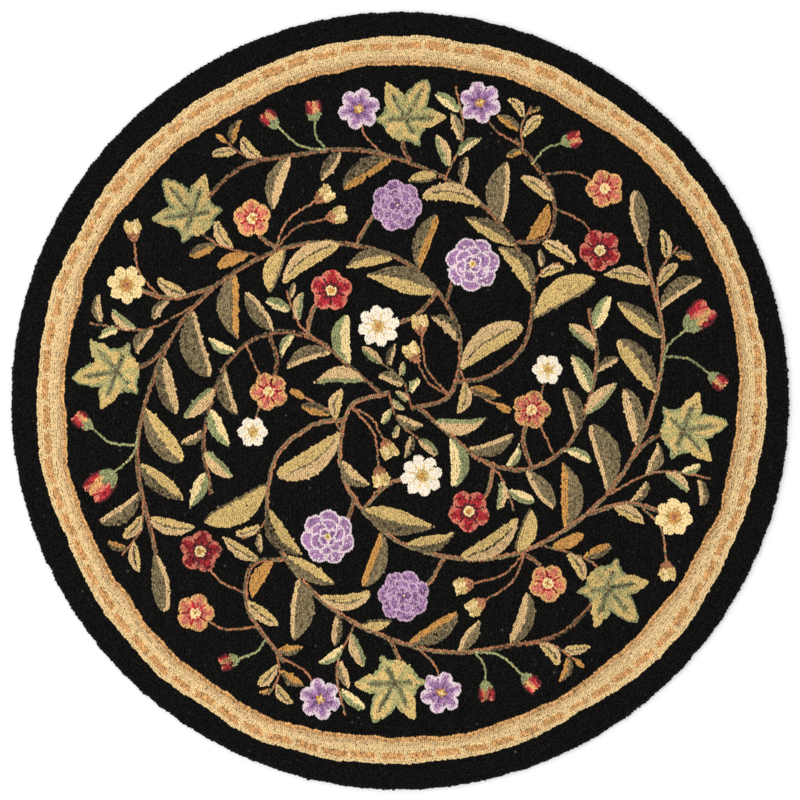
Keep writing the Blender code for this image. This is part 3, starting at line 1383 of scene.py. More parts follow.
@dataclass
class Garden:
    """The flowering stems of the field, drawn twice, half a turn apart."""

    plan: Plan
    size: RugSize
    lines: dict[tuple[str, int], Points] = field(default_factory=dict)
    stems: dict[tuple[str, int], int] = field(default_factory=dict)
    gap_mm: float = 5.4
    edge_gap_mm: float = 14.0
    first_seed: int = 100
    sizes: tuple[float, ...] = (1.0, 0.86, 0.72, 0.6, 0.48)
    nudges_deg: tuple[float, ...] = (0.0, 12.0, -12.0, 24.0)

    def draw(self) -> None:
        """Draw all stems, then what they carry, then the leaves that fit round both."""
        for step in (self._route, self._stem, self._head, self._foliage):
            for shoot in SHOOTS:
                for half in (0, 1):
                    step(shoot, half)

    def _route(self, shoot: Shoot, half: int) -> None:
        """Work out where a stem runs.

        Args:
            shoot: The stem.
            half: The half of the design that it is in, 0 or 1.
        """
        knots = [np.array(polar(r, a + 180 * half)) for r, a in shoot.route]
        if shoot.parent:
            parent = shoot.parent.removesuffix("_2")
            line = self.lines[parent, half if parent == shoot.parent else 1 - half]
            knots.insert(0, line[int(shoot.fork * (len(line) - 1))])
        if len(knots) == 2:
            way = knots[1] - knots[0]
            knots.insert(1, knots[0] + way / 2 + shoot.bow * np.array([-way[1], way[0]]))
        self.lines[shoot.name, half] = smooth_line(knots)

    def _stem(self, shoot: Shoot, half: int) -> None:
        """Hook a stem's rows side by side.

        Args:
            shoot: The stem.
            half: The half of the design that it is in, 0 or 1.
        """
        yarns, motif = shoot.look.value, 0
        for k, (yarn, fleck) in enumerate(yarns):
            line = beside(self.lines[shoot.name, half], ((len(yarns) - 1) / 2 - k) * self.plan.row_mm)
            motif = self.plan.stitch(line, yarn, Part.STEM, motif, fleck)
        self.stems[shoot.name, half] = motif

    def _head(self, shoot: Shoot, half: int) -> None:
        """Draw what a stem carries at its end, turned as told or else along the stem.

        Args:
            shoot: The stem.
            half: The half of the design that it is in, 0 or 1.
        """
        if shoot.head is None:
            return
        line = self.lines[shoot.name, half]
        if shoot.head_turn_deg is None:
            turn = direction_deg(line[-1] - line[-6])
        else:
            turn = shoot.head_turn_deg + 180 * half
        shoot.head.draw(self.plan, line[-1], turn)

    def _foliage(self, shoot: Shoot, half: int) -> None:
        """Draw a stem's leaves, each as large as fits.

        Args:
            shoot: The stem.
            half: The half of the design that it is in, 0 or 1.
        """
        if shoot.leaves is None:
            return
        # Both halves of the design have the same leaves, as far as their neighbours let them.
        luck = np.random.default_rng(self.first_seed + SHOOTS.index(shoot))
        leaves, line = shoot.leaves, self.lines[shoot.name, half]
        for share, side, look in leaves.stations():
            spot = int(share * (len(line) - 2))
            aim = direction_deg(line[min(spot + 6, len(line) - 1)] - line[max(spot - 6, 0)])
            size = leaves.longest_mm + (leaves.shortest_mm - leaves.longest_mm) * share
            size *= luck.uniform(0.92, 1.08)
            lean = leaves.lean_deg + luck.uniform(-7, 7)
            bend = luck.uniform(0.03, 0.16)
            leaf = LanceLeaf(
                tuple(line[spot] + side * 0.7 * self.plan.row_mm * heading(aim + 90)),
                aim + side * lean,
                size,
                size * leaves.breadth * luck.uniform(0.9, 1.16),
                look,
                side or 1,
                -side * bend * size,
                luck.uniform(0.40, 0.58),
                luck.uniform(0.66, 0.86),
            )
            self._fit(leaf, side, {self.stems[shoot.name, half]})

    def _fit(self, leaf: LanceLeaf, side: int, own: set[int]) -> None:
        """Draw one leaf in the first size and lean that keep clear of its neighbours.

        Args:
            leaf: The leaf in its full size.
            side: The side of the stem that it is on.
            own: The motifs that it may touch.
        """
        limit = self.size.border_inner.radius_mm - self.edge_gap_mm
        for shrink in self.sizes:
            for nudge in self.nudges_deg:
                tried = replace(
                    leaf,
                    aim_deg=leaf.aim_deg + side * nudge,
                    length_mm=leaf.length_mm * shrink,
                    breadth_mm=leaf.breadth_mm * shrink * (1.15 - 0.15 * shrink),
                    bend_mm=leaf.bend_mm * shrink,
                )
                if tried.fits(self.plan, own, self.gap_mm, limit):
                    tried.draw(self.plan)
                    return


# --------------------------------------------------------------------------- border, rim and ground


@dataclass
class Border:
    """The gold border: cream rows, a row of tan dashes, honey rows and an orange inner edge."""

    plan: Plan
    size: RugSize
    dashes: int = 80
    divider_mm: float = 8.6
    dash_drift: float = 0.09
    dash_band: tuple[float, float] = (0.20, 0.44)
    dash_start: float = 0.04
    dash_seed: int = 11
    inset_mm: float = 0.4
    outer_rows: int = 7
    inner_rows: int = 12
    orange_rows: int = 2
    honey_rows: int = 4
    most_rows: int = 40

    def draw(self) -> None:
        """Claim the border's two strips of cells and lay their rows.

        The outer strip keeps to the outer edge and holds the cream and the dashes. The inner strip
        keeps to the inner edge, so it takes up what the border gains or loses in width.
        """
        plan, pitch = self.plan, self.plan.row_mm
        window = plan.whole()
        angle, reach = window.around()
        outer, inner = self.size.border_outer, self.size.border_inner
        out, within = outer.at(angle) - reach, reach - inner.at(angle)
        covered = (out > 0) & (within > 0)
        row = ((out - self.inset_mm) / pitch).astype(int).clip(0, self.most_rows)
        outer_mm = self.outer_rows * pitch + self.inset_mm
        yarn = np.full(out.shape, Yarn.CREAM, np.int8)
        yarn[self._dashed(angle, row)] = Yarn.TAN
        strip = plan.claim(window, covered & (out < outer_mm), yarn, Part.BORDER)
        self._rows(outer, -1, self.outer_rows, strip, self.inset_mm)
        yarn[:] = Yarn.CREAM
        yarn[within < self.honey_rows * pitch] = Yarn.HONEY
        yarn[within < self.orange_rows * pitch] = Yarn.ORANGE
        strip = plan.claim(window, covered & (out >= outer_mm), yarn, Part.BORDER)
        self._rows(inner, 1, self.inner_rows, strip)

    def _dashed(self, angle: np.ndarray, row: np.ndarray) -> np.ndarray:
        """Find the dashes: in whole rows, parted by cream dividers that are a little out of true.

        Args:
            angle: The direction of each cell, in radians.
            row: The row that each cell is in, counted from the border's outer edge.

        Returns:
            Which cells a dash covers.
        """
        luck = np.random.default_rng(self.dash_seed)
        turn = (angle / FULL_TURN % 1) * self.dashes + self.dash_drift * np.sin(2 * angle + 1.0)
        number = np.floor(turn).astype(int)
        share, dash = turn - number, number % self.dashes
        wide = self.divider_mm * self.dashes / (FULL_TURN * self.size.border_outer.radius_mm)
        stray = luck.normal(0.0, 0.018, (self.dashes, self.most_rows + 1, 2))
        stray = stray + luck.normal(0.0, 0.022, (self.dashes, 1, 2))
        start = stray[dash, row, 0] + self.dash_start
        stop = start + wide * (1 + 3 * stray[dash, row, 1])
        middle = (np.arange(self.dashes) + 0.5) * FULL_TURN / self.dashes
        width = self.size.border_outer.at(middle) - self.size.border_inner.at(middle)
        first, last = (
            np.rint((edge * width - self.inset_mm) / self.plan.row_mm)[dash] for edge in self.dash_band
        )
        return (row >= first) & (row < last) & ((share < start) | (share > stop))

    def _rows(self, edge: Edge, way: int, count: int, motif: int, inset_mm: float = 0.0) -> None:
        """Lay rows that follow one edge of the border.

        Args:
            edge: The edge.
            way: 1 if the rows lie outside it, -1 if inside.
            count: How many rows there are.
            motif: The motif that they belong to.
            inset_mm: The distance from the edge to the first row's own edge.
        """
        turn = full_turn(RING_POINTS)
        for k in range(count):
            reach = edge.at(turn) + way * ((k + 0.5) * self.plan.row_mm + inset_mm)
            self.plan.rows.append(Row(evenly(ring(turn, reach)), motif))


@dataclass
class Rim:
    """The black rim: rows that follow the rug's outline, from the border to where the edge rolls over."""

    plan: Plan
    size: RugSize
    rows: int = 11

    def draw(self) -> None:
        """Claim the rim's cells, give up those outside the rug, and lay the rows."""
        plan, size = self.plan, self.size
        window = plan.whole()
        angle, reach = window.around()
        flat = size.outline.at(angle) - size.rim_roll_mm + 0.5 * size.ground_row_mm
        covered = (reach >= size.border_outer.at(angle)) & (reach < flat)
        motif = plan.claim(window, covered, np.full(reach.shape, Yarn.BLACK, np.int8), Part.RIM)
        plan.motif[window.rows, window.columns][reach >= flat] = -1
        turn = full_turn(RING_POINTS)
        for k in range(self.rows):
            reach = size.outline.at(turn) - size.rim_roll_mm - k * size.ground_row_mm
            plan.rows.append(Row(ring(turn, reach), motif))


@dataclass
class Ground:
    """The black ground between the motifs, hooked last in straight rows, up and down the rug."""

    plan: Plan
    size: RugSize
    bow_mm: float = 1.2
    over_mm: float = 15.0

    def draw(self) -> None:
        """Lay the rows wherever no motif is, and a little under the border's wandering edge."""
        reach = self.size.border_inner.radius_mm + self.over_mm
        step = self.size.ground_row_mm
        along = np.arange(-reach, reach, 1.0)
        for k in range(-int(reach / step), int(reach / step) + 1):
            bow = self.bow_mm * np.sin(along / 90 + 0.7 * k)
            self.plan.rows.append(Row(np.stack([k * step + bow, along], 1), 0))


# --------------------------------------------------------------------------- hooking the loops


@dataclass
class Batch:
    """Many loops: one entry of each array for each loop."""

    def _arrays(self) -> list[np.ndarray]:
        """All the arrays, in their order."""
        return [getattr(self, item.name) for item in fields(self)]

    def __len__(self) -> int:
        """How many loops there are."""
        return len(self._arrays()[0])

    def only(self, chosen: np.ndarray) -> Self:
        """The loops that a mask or a list of numbers picks."""
        return type(self)(*(values[chosen] for values in self._arrays()))

    @classmethod
    def joined(cls, parts: Sequence[Self]) -> Self:
        """Several batches as one."""
        return cls(*(np.concatenate(values) for values in zip(*(part._arrays() for part in parts))))


@dataclass
class Loops(Batch):
    """Where loops go on the canvas: place in mm, direction of their row, motif and row number."""

    place: np.ndarray
    turn: np.ndarray
    motif: np.ndarray
    row: np.ndarray


@dataclass
class Hooker:
    """Fills the plan with loops: along its rows first, then wherever a hole is left."""

    plan: Plan
    size: RugSize
    step_mm: float = 0.8
    fine_mm: float = 0.5
    ground_pitch: float = 1.07
    shortest_run: float = 0.45
    too_near: float = 0.60
    hole_shares: tuple[float, ...] = (1.0, 0.86, 0.78, 0.71)
    black_share: float = 0.78
    near_cells: int = 8

    def pitch(self, motif: np.ndarray) -> np.ndarray:
        """The usual distance in mm between loops of each motif: wider in the plain black parts."""
        plain = self.plan.are(*PLAIN_PARTS)[motif]
        return np.where(plain, self.size.ground_row_mm * self.ground_pitch, self.size.row_mm)

    def hook(self) -> Loops:
        """Set all the loops of the rug's flat top.

        Returns:
            The loops, none closer together than they can be hooked.
        """
        stitched = [self._along(number, row) for number, row in enumerate(self.plan.rows)]
        # Single rows such as veins and stems come first, so that they stay unbroken.
        order = np.argsort([-row.motif for row in self.plan.rows], kind="stable")
        loops = self._thinned(Loops.joined([stitched[k] for k in order if len(stitched[k])]))
        for share in self.hole_shares:
            loops = self._filled(loops, share)
        return loops

    def _along(self, number: int, row: Row) -> Loops:
        """Set loops evenly along each run of a row that lies on its own motif.

        Args:
            number: The row's number.
            row: The row.

        Returns:
            Its loops.
        """
        points = evenly(self.plan.hooked(row.points), self.step_mm)
        own = self.plan.motif[self.plan.cells(points)] == row.motif
        turns = np.flatnonzero(np.diff(np.concatenate([[0], own.astype(int), [0]])))
        pitch = float(self.pitch(np.array([row.motif]))[0]) / self.step_mm
        spots = [np.zeros(0)]
        for start, stop in zip(turns[::2], turns[1::2]):
            run = stop - start
            count = max(round(run / pitch), int(run > self.shortest_run * pitch))
            if count:
                spots.append(start + (np.arange(count) + 0.5) * run / count - 0.5)
        at = np.concatenate(spots)
        index = np.arange(len(points))
        place = np.stack([np.interp(at, index, axis) for axis in points.T], 1)
        way = np.gradient(points, axis=0)[at.round().astype(int).clip(0, len(points) - 1)]
        turn = np.arctan2(way[:, 1], way[:, 0])
        return Loops(place, turn, np.full(len(at), row.motif), np.full(len(at), number))

    def _board(self) -> np.ndarray:
        """An empty board of fine cells, on which -1 means that no loop is there."""
        return np.full((int(2 * self.plan.half_mm / self.fine_mm),) * 2, -1, np.int32)

    def _discs(self, loops: Loops, share: float) -> tuple[np.ndarray, np.ndarray, np.ndarray]:
        """The fine cells round each loop.

        Args:
            loops: The loops.
            share: The discs' radius as a share of the loops' pitch.

        Returns:
            For each cell of each disc: its row, its column and the loop's number.
        """
        radius = self.pitch(loops.motif) * share / self.fine_mm
        at = (loops.place + self.plan.half_mm) / self.fine_mm
        found = []
        for step in zip(*disc(int(radius.max()) + 1)):
            cell = np.floor(at).astype(int) + step[::-1]
            hit = np.hypot(*(cell + 0.5 - at).T) <= radius
            found.append((cell[hit, 1], cell[hit, 0], np.flatnonzero(hit)))
        rows, columns, numbers = (np.concatenate(values) for values in zip(*found))
        limit = int(2 * self.plan.half_mm / self.fine_mm) - 1
        return rows.clip(0, limit), columns.clip(0, limit), numbers

    def _brink(self) -> np.ndarray:
        """Find the plan's cells right beside the black, from where one more loop would stick out.

        Returns:
            Which cells they are: one deep at the motifs' edges and two deep in the border.
        """
        black = self.plan.yarn == Yarn.BLACK
        border = self.plan.are(Part.BORDER)[self.plan.motif.clip(0)]
        near = self._spread(black)
        return ~black & (near | (self._spread(near) & border))

    @staticmethod
    def _spread(cells: np.ndarray) -> np.ndarray:
        """Some cells and the four beside each of them."""
        ways = [np.roll(cells, way, axis) for way in (-1, 1) for axis in (0, 1)]
        return np.logical_or.reduce([cells, *ways])

    def _thinned(self, loops: Loops) -> Loops:
        """Leave out loops that crowd one before them in the order.

        Args:
            loops: The loops.

        Returns:
            Those that are left.
        """
        board = self._board()
        rows, columns, numbers = self._discs(loops, self.too_near / 2)
        last_first = np.argsort(-numbers, kind="stable")
        board[rows[last_first], columns[last_first]] = numbers[last_first]
        crowded = np.zeros(len(loops), bool)
        crowded[numbers[board[rows, columns] != numbers]] = True
        return loops.only(~crowded)

    def _filled(self, loops: Loops, share: float) -> Loops:
        """Set one more loop in each hole that is wide enough all round.

        Args:
            loops: The loops so far.
            share: The least radius of such a hole, as a share of the pitch.

        Returns:
            The loops with the new ones after them.
        """
        board = self._board()
        rows, columns, numbers = self._discs(loops, share)
        board[rows, columns] = numbers
        cells = np.indices(board.shape).reshape(2, -1).T[::-1, ::-1]
        cells = cells[board[cells[:, 1], cells[:, 0]] < 0]
        place = (cells + 0.5) * self.fine_mm - self.plan.half_mm
        under = self.plan.cells(place)
        motif = self.plan.motif[under]
        # Holes in the black don't show, so only the wider ones are filled there.
        black = self.plan.yarn[under] == Yarn.BLACK
        free = (motif >= 0) & ~self._brink()[under] & (~black | (share >= self.black_share))
        cells, place, motif = cells[free], place[free], motif[free]
        radius = self.pitch(motif) * share / self.fine_mm
        added: list[int] = []
        turns: list[float] = []
        near = self.near_cells
        top = len(board) - 1 - (near + 1)
        for k, ((x, y), r) in enumerate(zip(cells, radius)):
            if board[y, x] >= 0 or not (near + 1 < x < top and near + 1 < y < top):
                continue
            patch = board[y - near : y + near + 1, x - near : x + near + 1]
            beside_it = patch[patch >= 0]
            turns.append(float(loops.turn[beside_it[0]]) if len(beside_it) else 0.0)
            added.append(k)
            span = int(r) + 1
            ys, xs = np.ogrid[-span : span + 1, -span : span + 1]
            patch = board[y - span : y + span + 1, x - span : x + span + 1]
            patch[(np.hypot(ys, xs) <= r)[: patch.shape[0], : patch.shape[1]]] = 0
        if not added:
            return loops
        LOG.info("filled %d holes wider than %.2f of the pitch", len(added), share)
        return Loops.joined(
            [loops, Loops(place[added], np.array(turns), motif[added], np.full(len(added), -1))]
        )


# --------------------------------------------------------------------------- the loops as meshes


@dataclass
class Pile(Batch):
    """Loops as they stand: root, the ways along and up, growth, yarn and tone, with lengths in mm."""

    root: np.ndarray
    along: np.ndarray
    up: np.ndarray
    grown: np.ndarray
    yarn: np.ndarray
    tone: np.ndarray


@dataclass(frozen=True)
class Mold:
    """A loop's points, in shares of its length, width and height, and its faces."""

    points: np.ndarray
    faces: list[list[int]]

    @property
    def corners(self) -> np.ndarray:
        """The points of all the faces' corners, one after another."""
        return np.concatenate([np.array(face) for face in self.faces])

    @property
    def under(self) -> np.ndarray:
        """Which corners belong to the face under the loop."""
        return np.concatenate(
            [np.full(len(face), self.points[face, 2].max() == 0) for face in self.faces]
        )


@dataclass(frozen=True)
class LoopShape:
    """One loop of yarn as a small closed form: broad at its root, narrow where it turns over."""

    size_mm: tuple[float, float, float]
    top: tuple[float, float]
    pull: tuple[float, float, float] = (0.98, 1.02, 1.0)  # how the canvas's weave draws it, along X, Y and Z

    def mold(self) -> Mold:
        """Shape one loop, for the rug's loops to be cast from.

        Returns:
            The loop's points and faces.
        """
        bm = bmesh.new()
        bmesh.ops.create_cube(bm, size=1.0)
        top = [v for v in bm.verts if v.co.z > 0]
        bmesh.ops.translate(bm, verts=bm.verts, vec=(0.0, 0.0, 0.5))
        bmesh.ops.scale(bm, verts=top, vec=(*self.top, 1.0))
        bmesh.ops.remove_doubles(bm, verts=bm.verts, dist=0.001)
        bmesh.ops.recalc_face_normals(bm, faces=bm.faces)
        bm.verts.index_update()
        made = Mold(np.array([v.co[:] for v in bm.verts]), [[v.index for v in f.verts] for f in bm.faces])
        bm.free()
        return made


@dataclass
class PileMaker:
    """Stands loops up: jitters each as hand work does, and picks its yarn and its tone."""

    plan: Plan
    size: RugSize
    stray_mm: float = 0.32
    turn_sd_deg: float = 8.0
    careless: float = 6.0
    lean: float = 0.10
    sunk_mm: float = 0.3
    tones: tuple[float, float, float] = (0.7, 0.2, 0.4)
    lint_share: float = 0.0006
    fluff_share: float = 0.012
    roll_lifts_deg: tuple[float, ...] = (64.0, 34.0, 3.0)
    roll_pitch: float = 1.03
    luck: np.random.Generator = field(default_factory=lambda: np.random.default_rng(5))

    def flat(self, loops: Loops) -> Pile:
        """Stand up the loops of the rug's flat top.

        Args:
            loops: Where the loops go.

        Returns:
            The same loops, upright.
        """
        count, luck = len(loops), self.luck
        yarn = self.plan.yarn[self.plan.cells(loops.place)].astype(int)
        # The plain black parts were hooked with less care for the rows than the motifs.
        care = np.where(yarn == Yarn.BLACK, self.careless, 1.0)
        place = loops.place + luck.normal(0.0, self.stray_mm, (count, 2)) * care[:, None] ** 0.5
        root_z = self.size.thickness_mm - self.size.loop_rise_mm - self.sunk_mm
        root = np.column_stack([place, np.full(count, root_z)])
        turn = loops.turn + np.radians(luck.normal(0.0, self.turn_sd_deg, count) * care)
        along = np.column_stack([np.cos(turn), np.sin(turn), np.zeros(count)])
        up = np.column_stack([luck.normal(0.0, self.lean, (count, 2)), np.ones(count)])
        return Pile(root, along, up, self._grown(count), yarn, self._tone(loops, yarn))

    def _grown(self, count: int) -> np.ndarray:
        """How much longer, wider and higher than usual each loop is."""
        grown = self.luck.normal(1.0, 0.07, (count, 3)).clip(0.8, 1.2)
        grown[:, 2] = self.luck.normal(0.97, 0.05, count).clip(0.8, 1.04)
        return grown

    def _tone(self, loops: Loops, yarn: np.ndarray) -> np.ndarray:
        """Pick how light or dark each loop is: by itself, with its row and with its motif.

        Args:
            loops: The loops.
            yarn: The yarn of each.

        Returns:
            The tone of each, 0 for the usual one.
        """
        luck, count = self.luck, len(loops)
        own_spread, row_spread, motif_spread = self.tones
        own = luck.normal(0.0, own_spread, count)
        by_row = luck.normal(0.0, row_spread, len(self.plan.rows) + 1)[loops.row]
        by_motif = luck.normal(0.0, motif_spread, len(self.plan.parts))
        by_motif[self.plan.are(Part.BORDER)] = 0.0
        coloured = yarn != Yarn.BLACK
        tone = own + (by_row + by_motif[loops.motif]) * coloured
        # Now and then a black loop has picked up pale fluff, and a few hold a whole fleck of lint.
        draw = luck.random(count) + coloured
        lint, fluff = luck.uniform(14.0, 34.0, count), luck.uniform(2.0, 7.0, count)
        return tone + (draw < self.fluff_share) * np.where(draw < self.lint_share, lint, fluff)

    def rolled(self) -> Pile:
        """Stand up the loops that go round the rug's rolled edge.

        Returns:
            Rows of black loops that lean further out the lower they are.
        """
        size, luck = self.size, self.luck
        count = int(FULL_TURN * size.outline.radius_mm / (size.ground_row_mm * self.roll_pitch))
        inner_roll = size.rim_roll_mm - size.loop_rise_mm
        half = (size.thickness_mm - size.loop_rise_mm) / 2
        parts = []
        for row, lift_deg in enumerate(self.roll_lifts_deg):
            angle = (np.arange(count) + 0.5 * (row % 2)) * FULL_TURN / count
            lift = math.radians(lift_deg) + luck.normal(0.0, 0.09, count)
            reach = size.outline.at(angle) - size.rim_roll_mm + inner_roll * np.cos(lift) - self.sunk_mm
            reach += luck.normal(0.0, 0.6, count)
            out = np.column_stack([np.cos(angle), np.sin(angle), np.zeros(count)])
            root, up = out * reach[:, None], out * np.cos(lift)[:, None]
            root[:, 2], up[:, 2] = half * (1 + np.sin(lift)), np.sin(lift)
            along = np.column_stack([-np.sin(angle), np.cos(angle), luck.normal(0.0, 0.1, count)])
            tone = luck.normal(0.0, 0.8, count)
            parts.append(Pile(root, along, up, self._grown(count), np.full(count, Yarn.BLACK), tone))
        return Pile.joined(parts)


def add_object(name: str, data: bpy.types.ID) -> bpy.types.Object:
    """Put a mesh, a light or a camera into the scene."""
    made = bpy.data.objects.new(name, data)
    bpy.context.scene.collection.objects.link(made)
    return made


def mesh_of(bm: bmesh.types.BMesh, name: str, *materials: bpy.types.Material) -> bpy.types.Mesh:
    """Finish a bmesh as a mesh.

    Args:
        bm: The bmesh, which is freed.
        name: The mesh's name.
        *materials: Its materials, in the order of its slots.

    Returns:
        The mesh.
    """
    mesh = bpy.data.meshes.new(name)
    bm.to_mesh(mesh)
    bm.free()
    for material in materials:
        mesh.materials.append(material)
    return mesh


@dataclass
class LoopPiece:
    """One piece of the rug's pile: many loops joined in one mesh."""

    name: str
    pile: Pile
    shape: LoopShape
    band_mm: float = 9.0
    map_margin: float = 0.08
    under_share: float = 0.05
    lay_shift_mm: float = 50.0
    lay_seed: int = 3

    def build(self, wools: dict[Yarn, bpy.types.Material]) -> bpy.types.Object:
        """Cast the loops and dress them.

        Args:
            wools: The material of each yarn.

        Returns:
            The piece's object.
        """
        mold = self.shape.mold()
        self._sort()
        mesh = bpy.data.meshes.new(self.name)
        self._cast(mesh, mold)
        self._mark(mesh, mold)
        self._map(mesh, mold)
        present = np.unique(self.pile.yarn)
        for value in present:
            mesh.materials.append(wools[Yarn(int(value))])
        slot = np.searchsorted(present, self.pile.yarn)
        mesh.polygons.foreach_set("material_index", np.repeat(slot, len(mold.faces)).astype(np.int32))
        mesh.update()
        piece = add_object(self.name, mesh)
        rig.slot(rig.ride(piece, BODY), WOOL_SLOT)
        triangles = len(self.pile) * sum(len(face) - 2 for face in mold.faces)
        LOG.info("%s: %d loops, %d triangles", self.name, len(self.pile), triangles)
        return piece

    def _sort(self) -> None:
        """Put the loops in order of place, so that neighbours also lie close on the map."""
        band = np.floor(self.pile.root[:, 1] / self.band_mm)
        order = np.lexsort((self.pile.root[:, 0] * (1 - 2 * (band % 2)), band))
        self.pile = self.pile.only(order)

    def _cast(self, mesh: bpy.types.Mesh, mold: Mold) -> None:
        """Lay a copy of the mold at each loop's place.

        Args:
            mesh: The piece's mesh, still empty.
            mold: The loop's form.
        """
        pile, count, points = self.pile, len(self.pile), len(mold.points)
        local = mold.points[None] * (pile.grown[:, None, :] * np.array(self.shape.size_mm))
        axes = (pile.along, np.cross(pile.up, pile.along), pile.up)
        reach = sum(local[..., k : k + 1] * axis[:, None] for k, axis in enumerate(axes))
        spots = pile.root[:, None] + reach * self.shape.pull
        mesh.vertices.add(count * points)
        mesh.vertices.foreach_set("co", (spots * MM).ravel().astype(np.float32))
        corners = mold.corners[None] + (np.arange(count) * points)[:, None]
        mesh.loops.add(corners.size)
        mesh.loops.foreach_set("vertex_index", corners.ravel().astype(np.int32))
        sizes = np.tile([len(face) for face in mold.faces], count)
        mesh.polygons.add(len(sizes))
        starts = np.concatenate([[0], np.cumsum(sizes)[:-1]])
        mesh.polygons.foreach_set("loop_start", starts.astype(np.int32))
        mesh.update(calc_edges=True)

    def _mark(self, mesh: bpy.types.Mesh, mold: Mold) -> None:
        """Write each loop's tone and rise, smooth it, and keep the edge round its root sharp.

        Args:
            mesh: The piece's mesh.
            mold: The loop's form.
        """
        rise = np.tile(mold.points[:, 2], len(self.pile))
        tone = np.repeat(self.pile.tone, len(mold.points))
        for name, values in (("loop_rise", rise), ("loop_tone", tone)):
            mesh.attributes.new(name, "FLOAT", "POINT").data.foreach_set("value", values.astype(np.float32))
        ends = np.zeros(2 * len(mesh.edges), np.int32)
        mesh.edges.foreach_get("vertices", ends)
        mesh.shade_smooth()
        sharp = (rise[ends.reshape(-1, 2)] == 0).all(1)
        mesh.attributes.new("sharp_edge", "BOOLEAN", "EDGE").data.foreach_set("value", sharp)

    def _map(self, mesh: bpy.types.Mesh, mold: Mold) -> None:
        """Write two UV maps: the yarn's lay in mm, and a square of its own for each loop.

        Args:
            mesh: The piece's mesh.
            mold: The loop's form.
        """
        length_mm, width_mm, height_mm = self.shape.size_mm
        at = mold.points[mold.corners]
        lay = at[:, :2] * np.array((length_mm, width_mm))
        lay[:, 1] += np.sign(at[:, 1]) * (1 - at[:, 2]) * height_mm * 0.5
        shift = np.random.default_rng(self.lay_seed).uniform(0.0, self.lay_shift_mm, (len(self.pile), 1, 2))
        side = math.ceil(math.sqrt(len(self.pile)))
        number = np.arange(len(self.pile))
        cell = np.stack([number % side, number // side], 1)[:, None]
        own = self.map_margin + (1 - 2 * self.map_margin) * (at[:, :2] + 0.5)
        # The face under the loop never shows, so it keeps to the square's corner.
        own = np.where(mold.under[:, None], self.under_share * own, own)
        # The map with a square for each loop comes first.
        for name, spots in (("OFBake", (cell + own[None]) / side), ("yarn_lay", lay[None] + shift)):
            mesh.uv_layers.new(name=name).data.foreach_set("uv", spots.ravel().astype(np.float32))


# --------------------------------------------------------------------------- the rug


@dataclass(frozen=True)
class Foundation:
    """The canvas with the loops' roots in it: a thin round that the loops stand on."""

    size: RugSize
    points: int = 288
    roll_steps: int = 4
    roll_share: float = 0.46

    def build(self, roots: bpy.types.Material, canvas: bpy.types.Material) -> bpy.types.Object:
        """Shape the round and dress its two sides.

        Args:
            roots: The finish of the wool between the loops.
            canvas: The finish of the underside.

        Returns:
            The foundation's object.
        """
        outline, rise_mm = self.size.outline, self.size.loop_rise_mm
        thick = (self.size.thickness_mm - rise_mm) * MM
        radius = (outline.radius_mm - rise_mm) * MM
        bm = bmesh.new()
        bmesh.ops.create_cone(
            bm,
            cap_ends=True,
            cap_tris=False,
            segments=self.points,
            radius1=radius,
            radius2=radius,
            depth=thick,
        )
        bmesh.ops.translate(bm, verts=bm.verts, vec=(0.0, 0.0, thick / 2))
        rim = [e for e in bm.edges if abs(e.verts[0].co.z - e.verts[1].co.z) < thick / 2]
        bmesh.ops.bevel(
            bm,
            geom=rim,
            affect="EDGES",
            offset=self.roll_share * thick,
            segments=self.roll_steps,
            profile=0.5,
            material=-1,
        )
        for vert in bm.verts:
            angle = math.atan2(vert.co.y, vert.co.x)
            stray = float(outline.at(np.array(angle))) / outline.radius_mm
            vert.co.x *= stray
            vert.co.y *= stray
        for face in bm.faces:
            face.material_index = int(face.normal.z < -0.6)
            face.smooth = True
        mesh = mesh_of(bm, "rug_foundation", roots, canvas)
        piece = add_object("rug_foundation", mesh)
        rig.slot(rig.ride(piece, BODY), WOOL_SLOT)
        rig.replaces(piece, CAD_NODE)
        LOG.info("rug_foundation: %d faces, %.1f mm thick", len(mesh.polygons), thick / MM)
        return piece


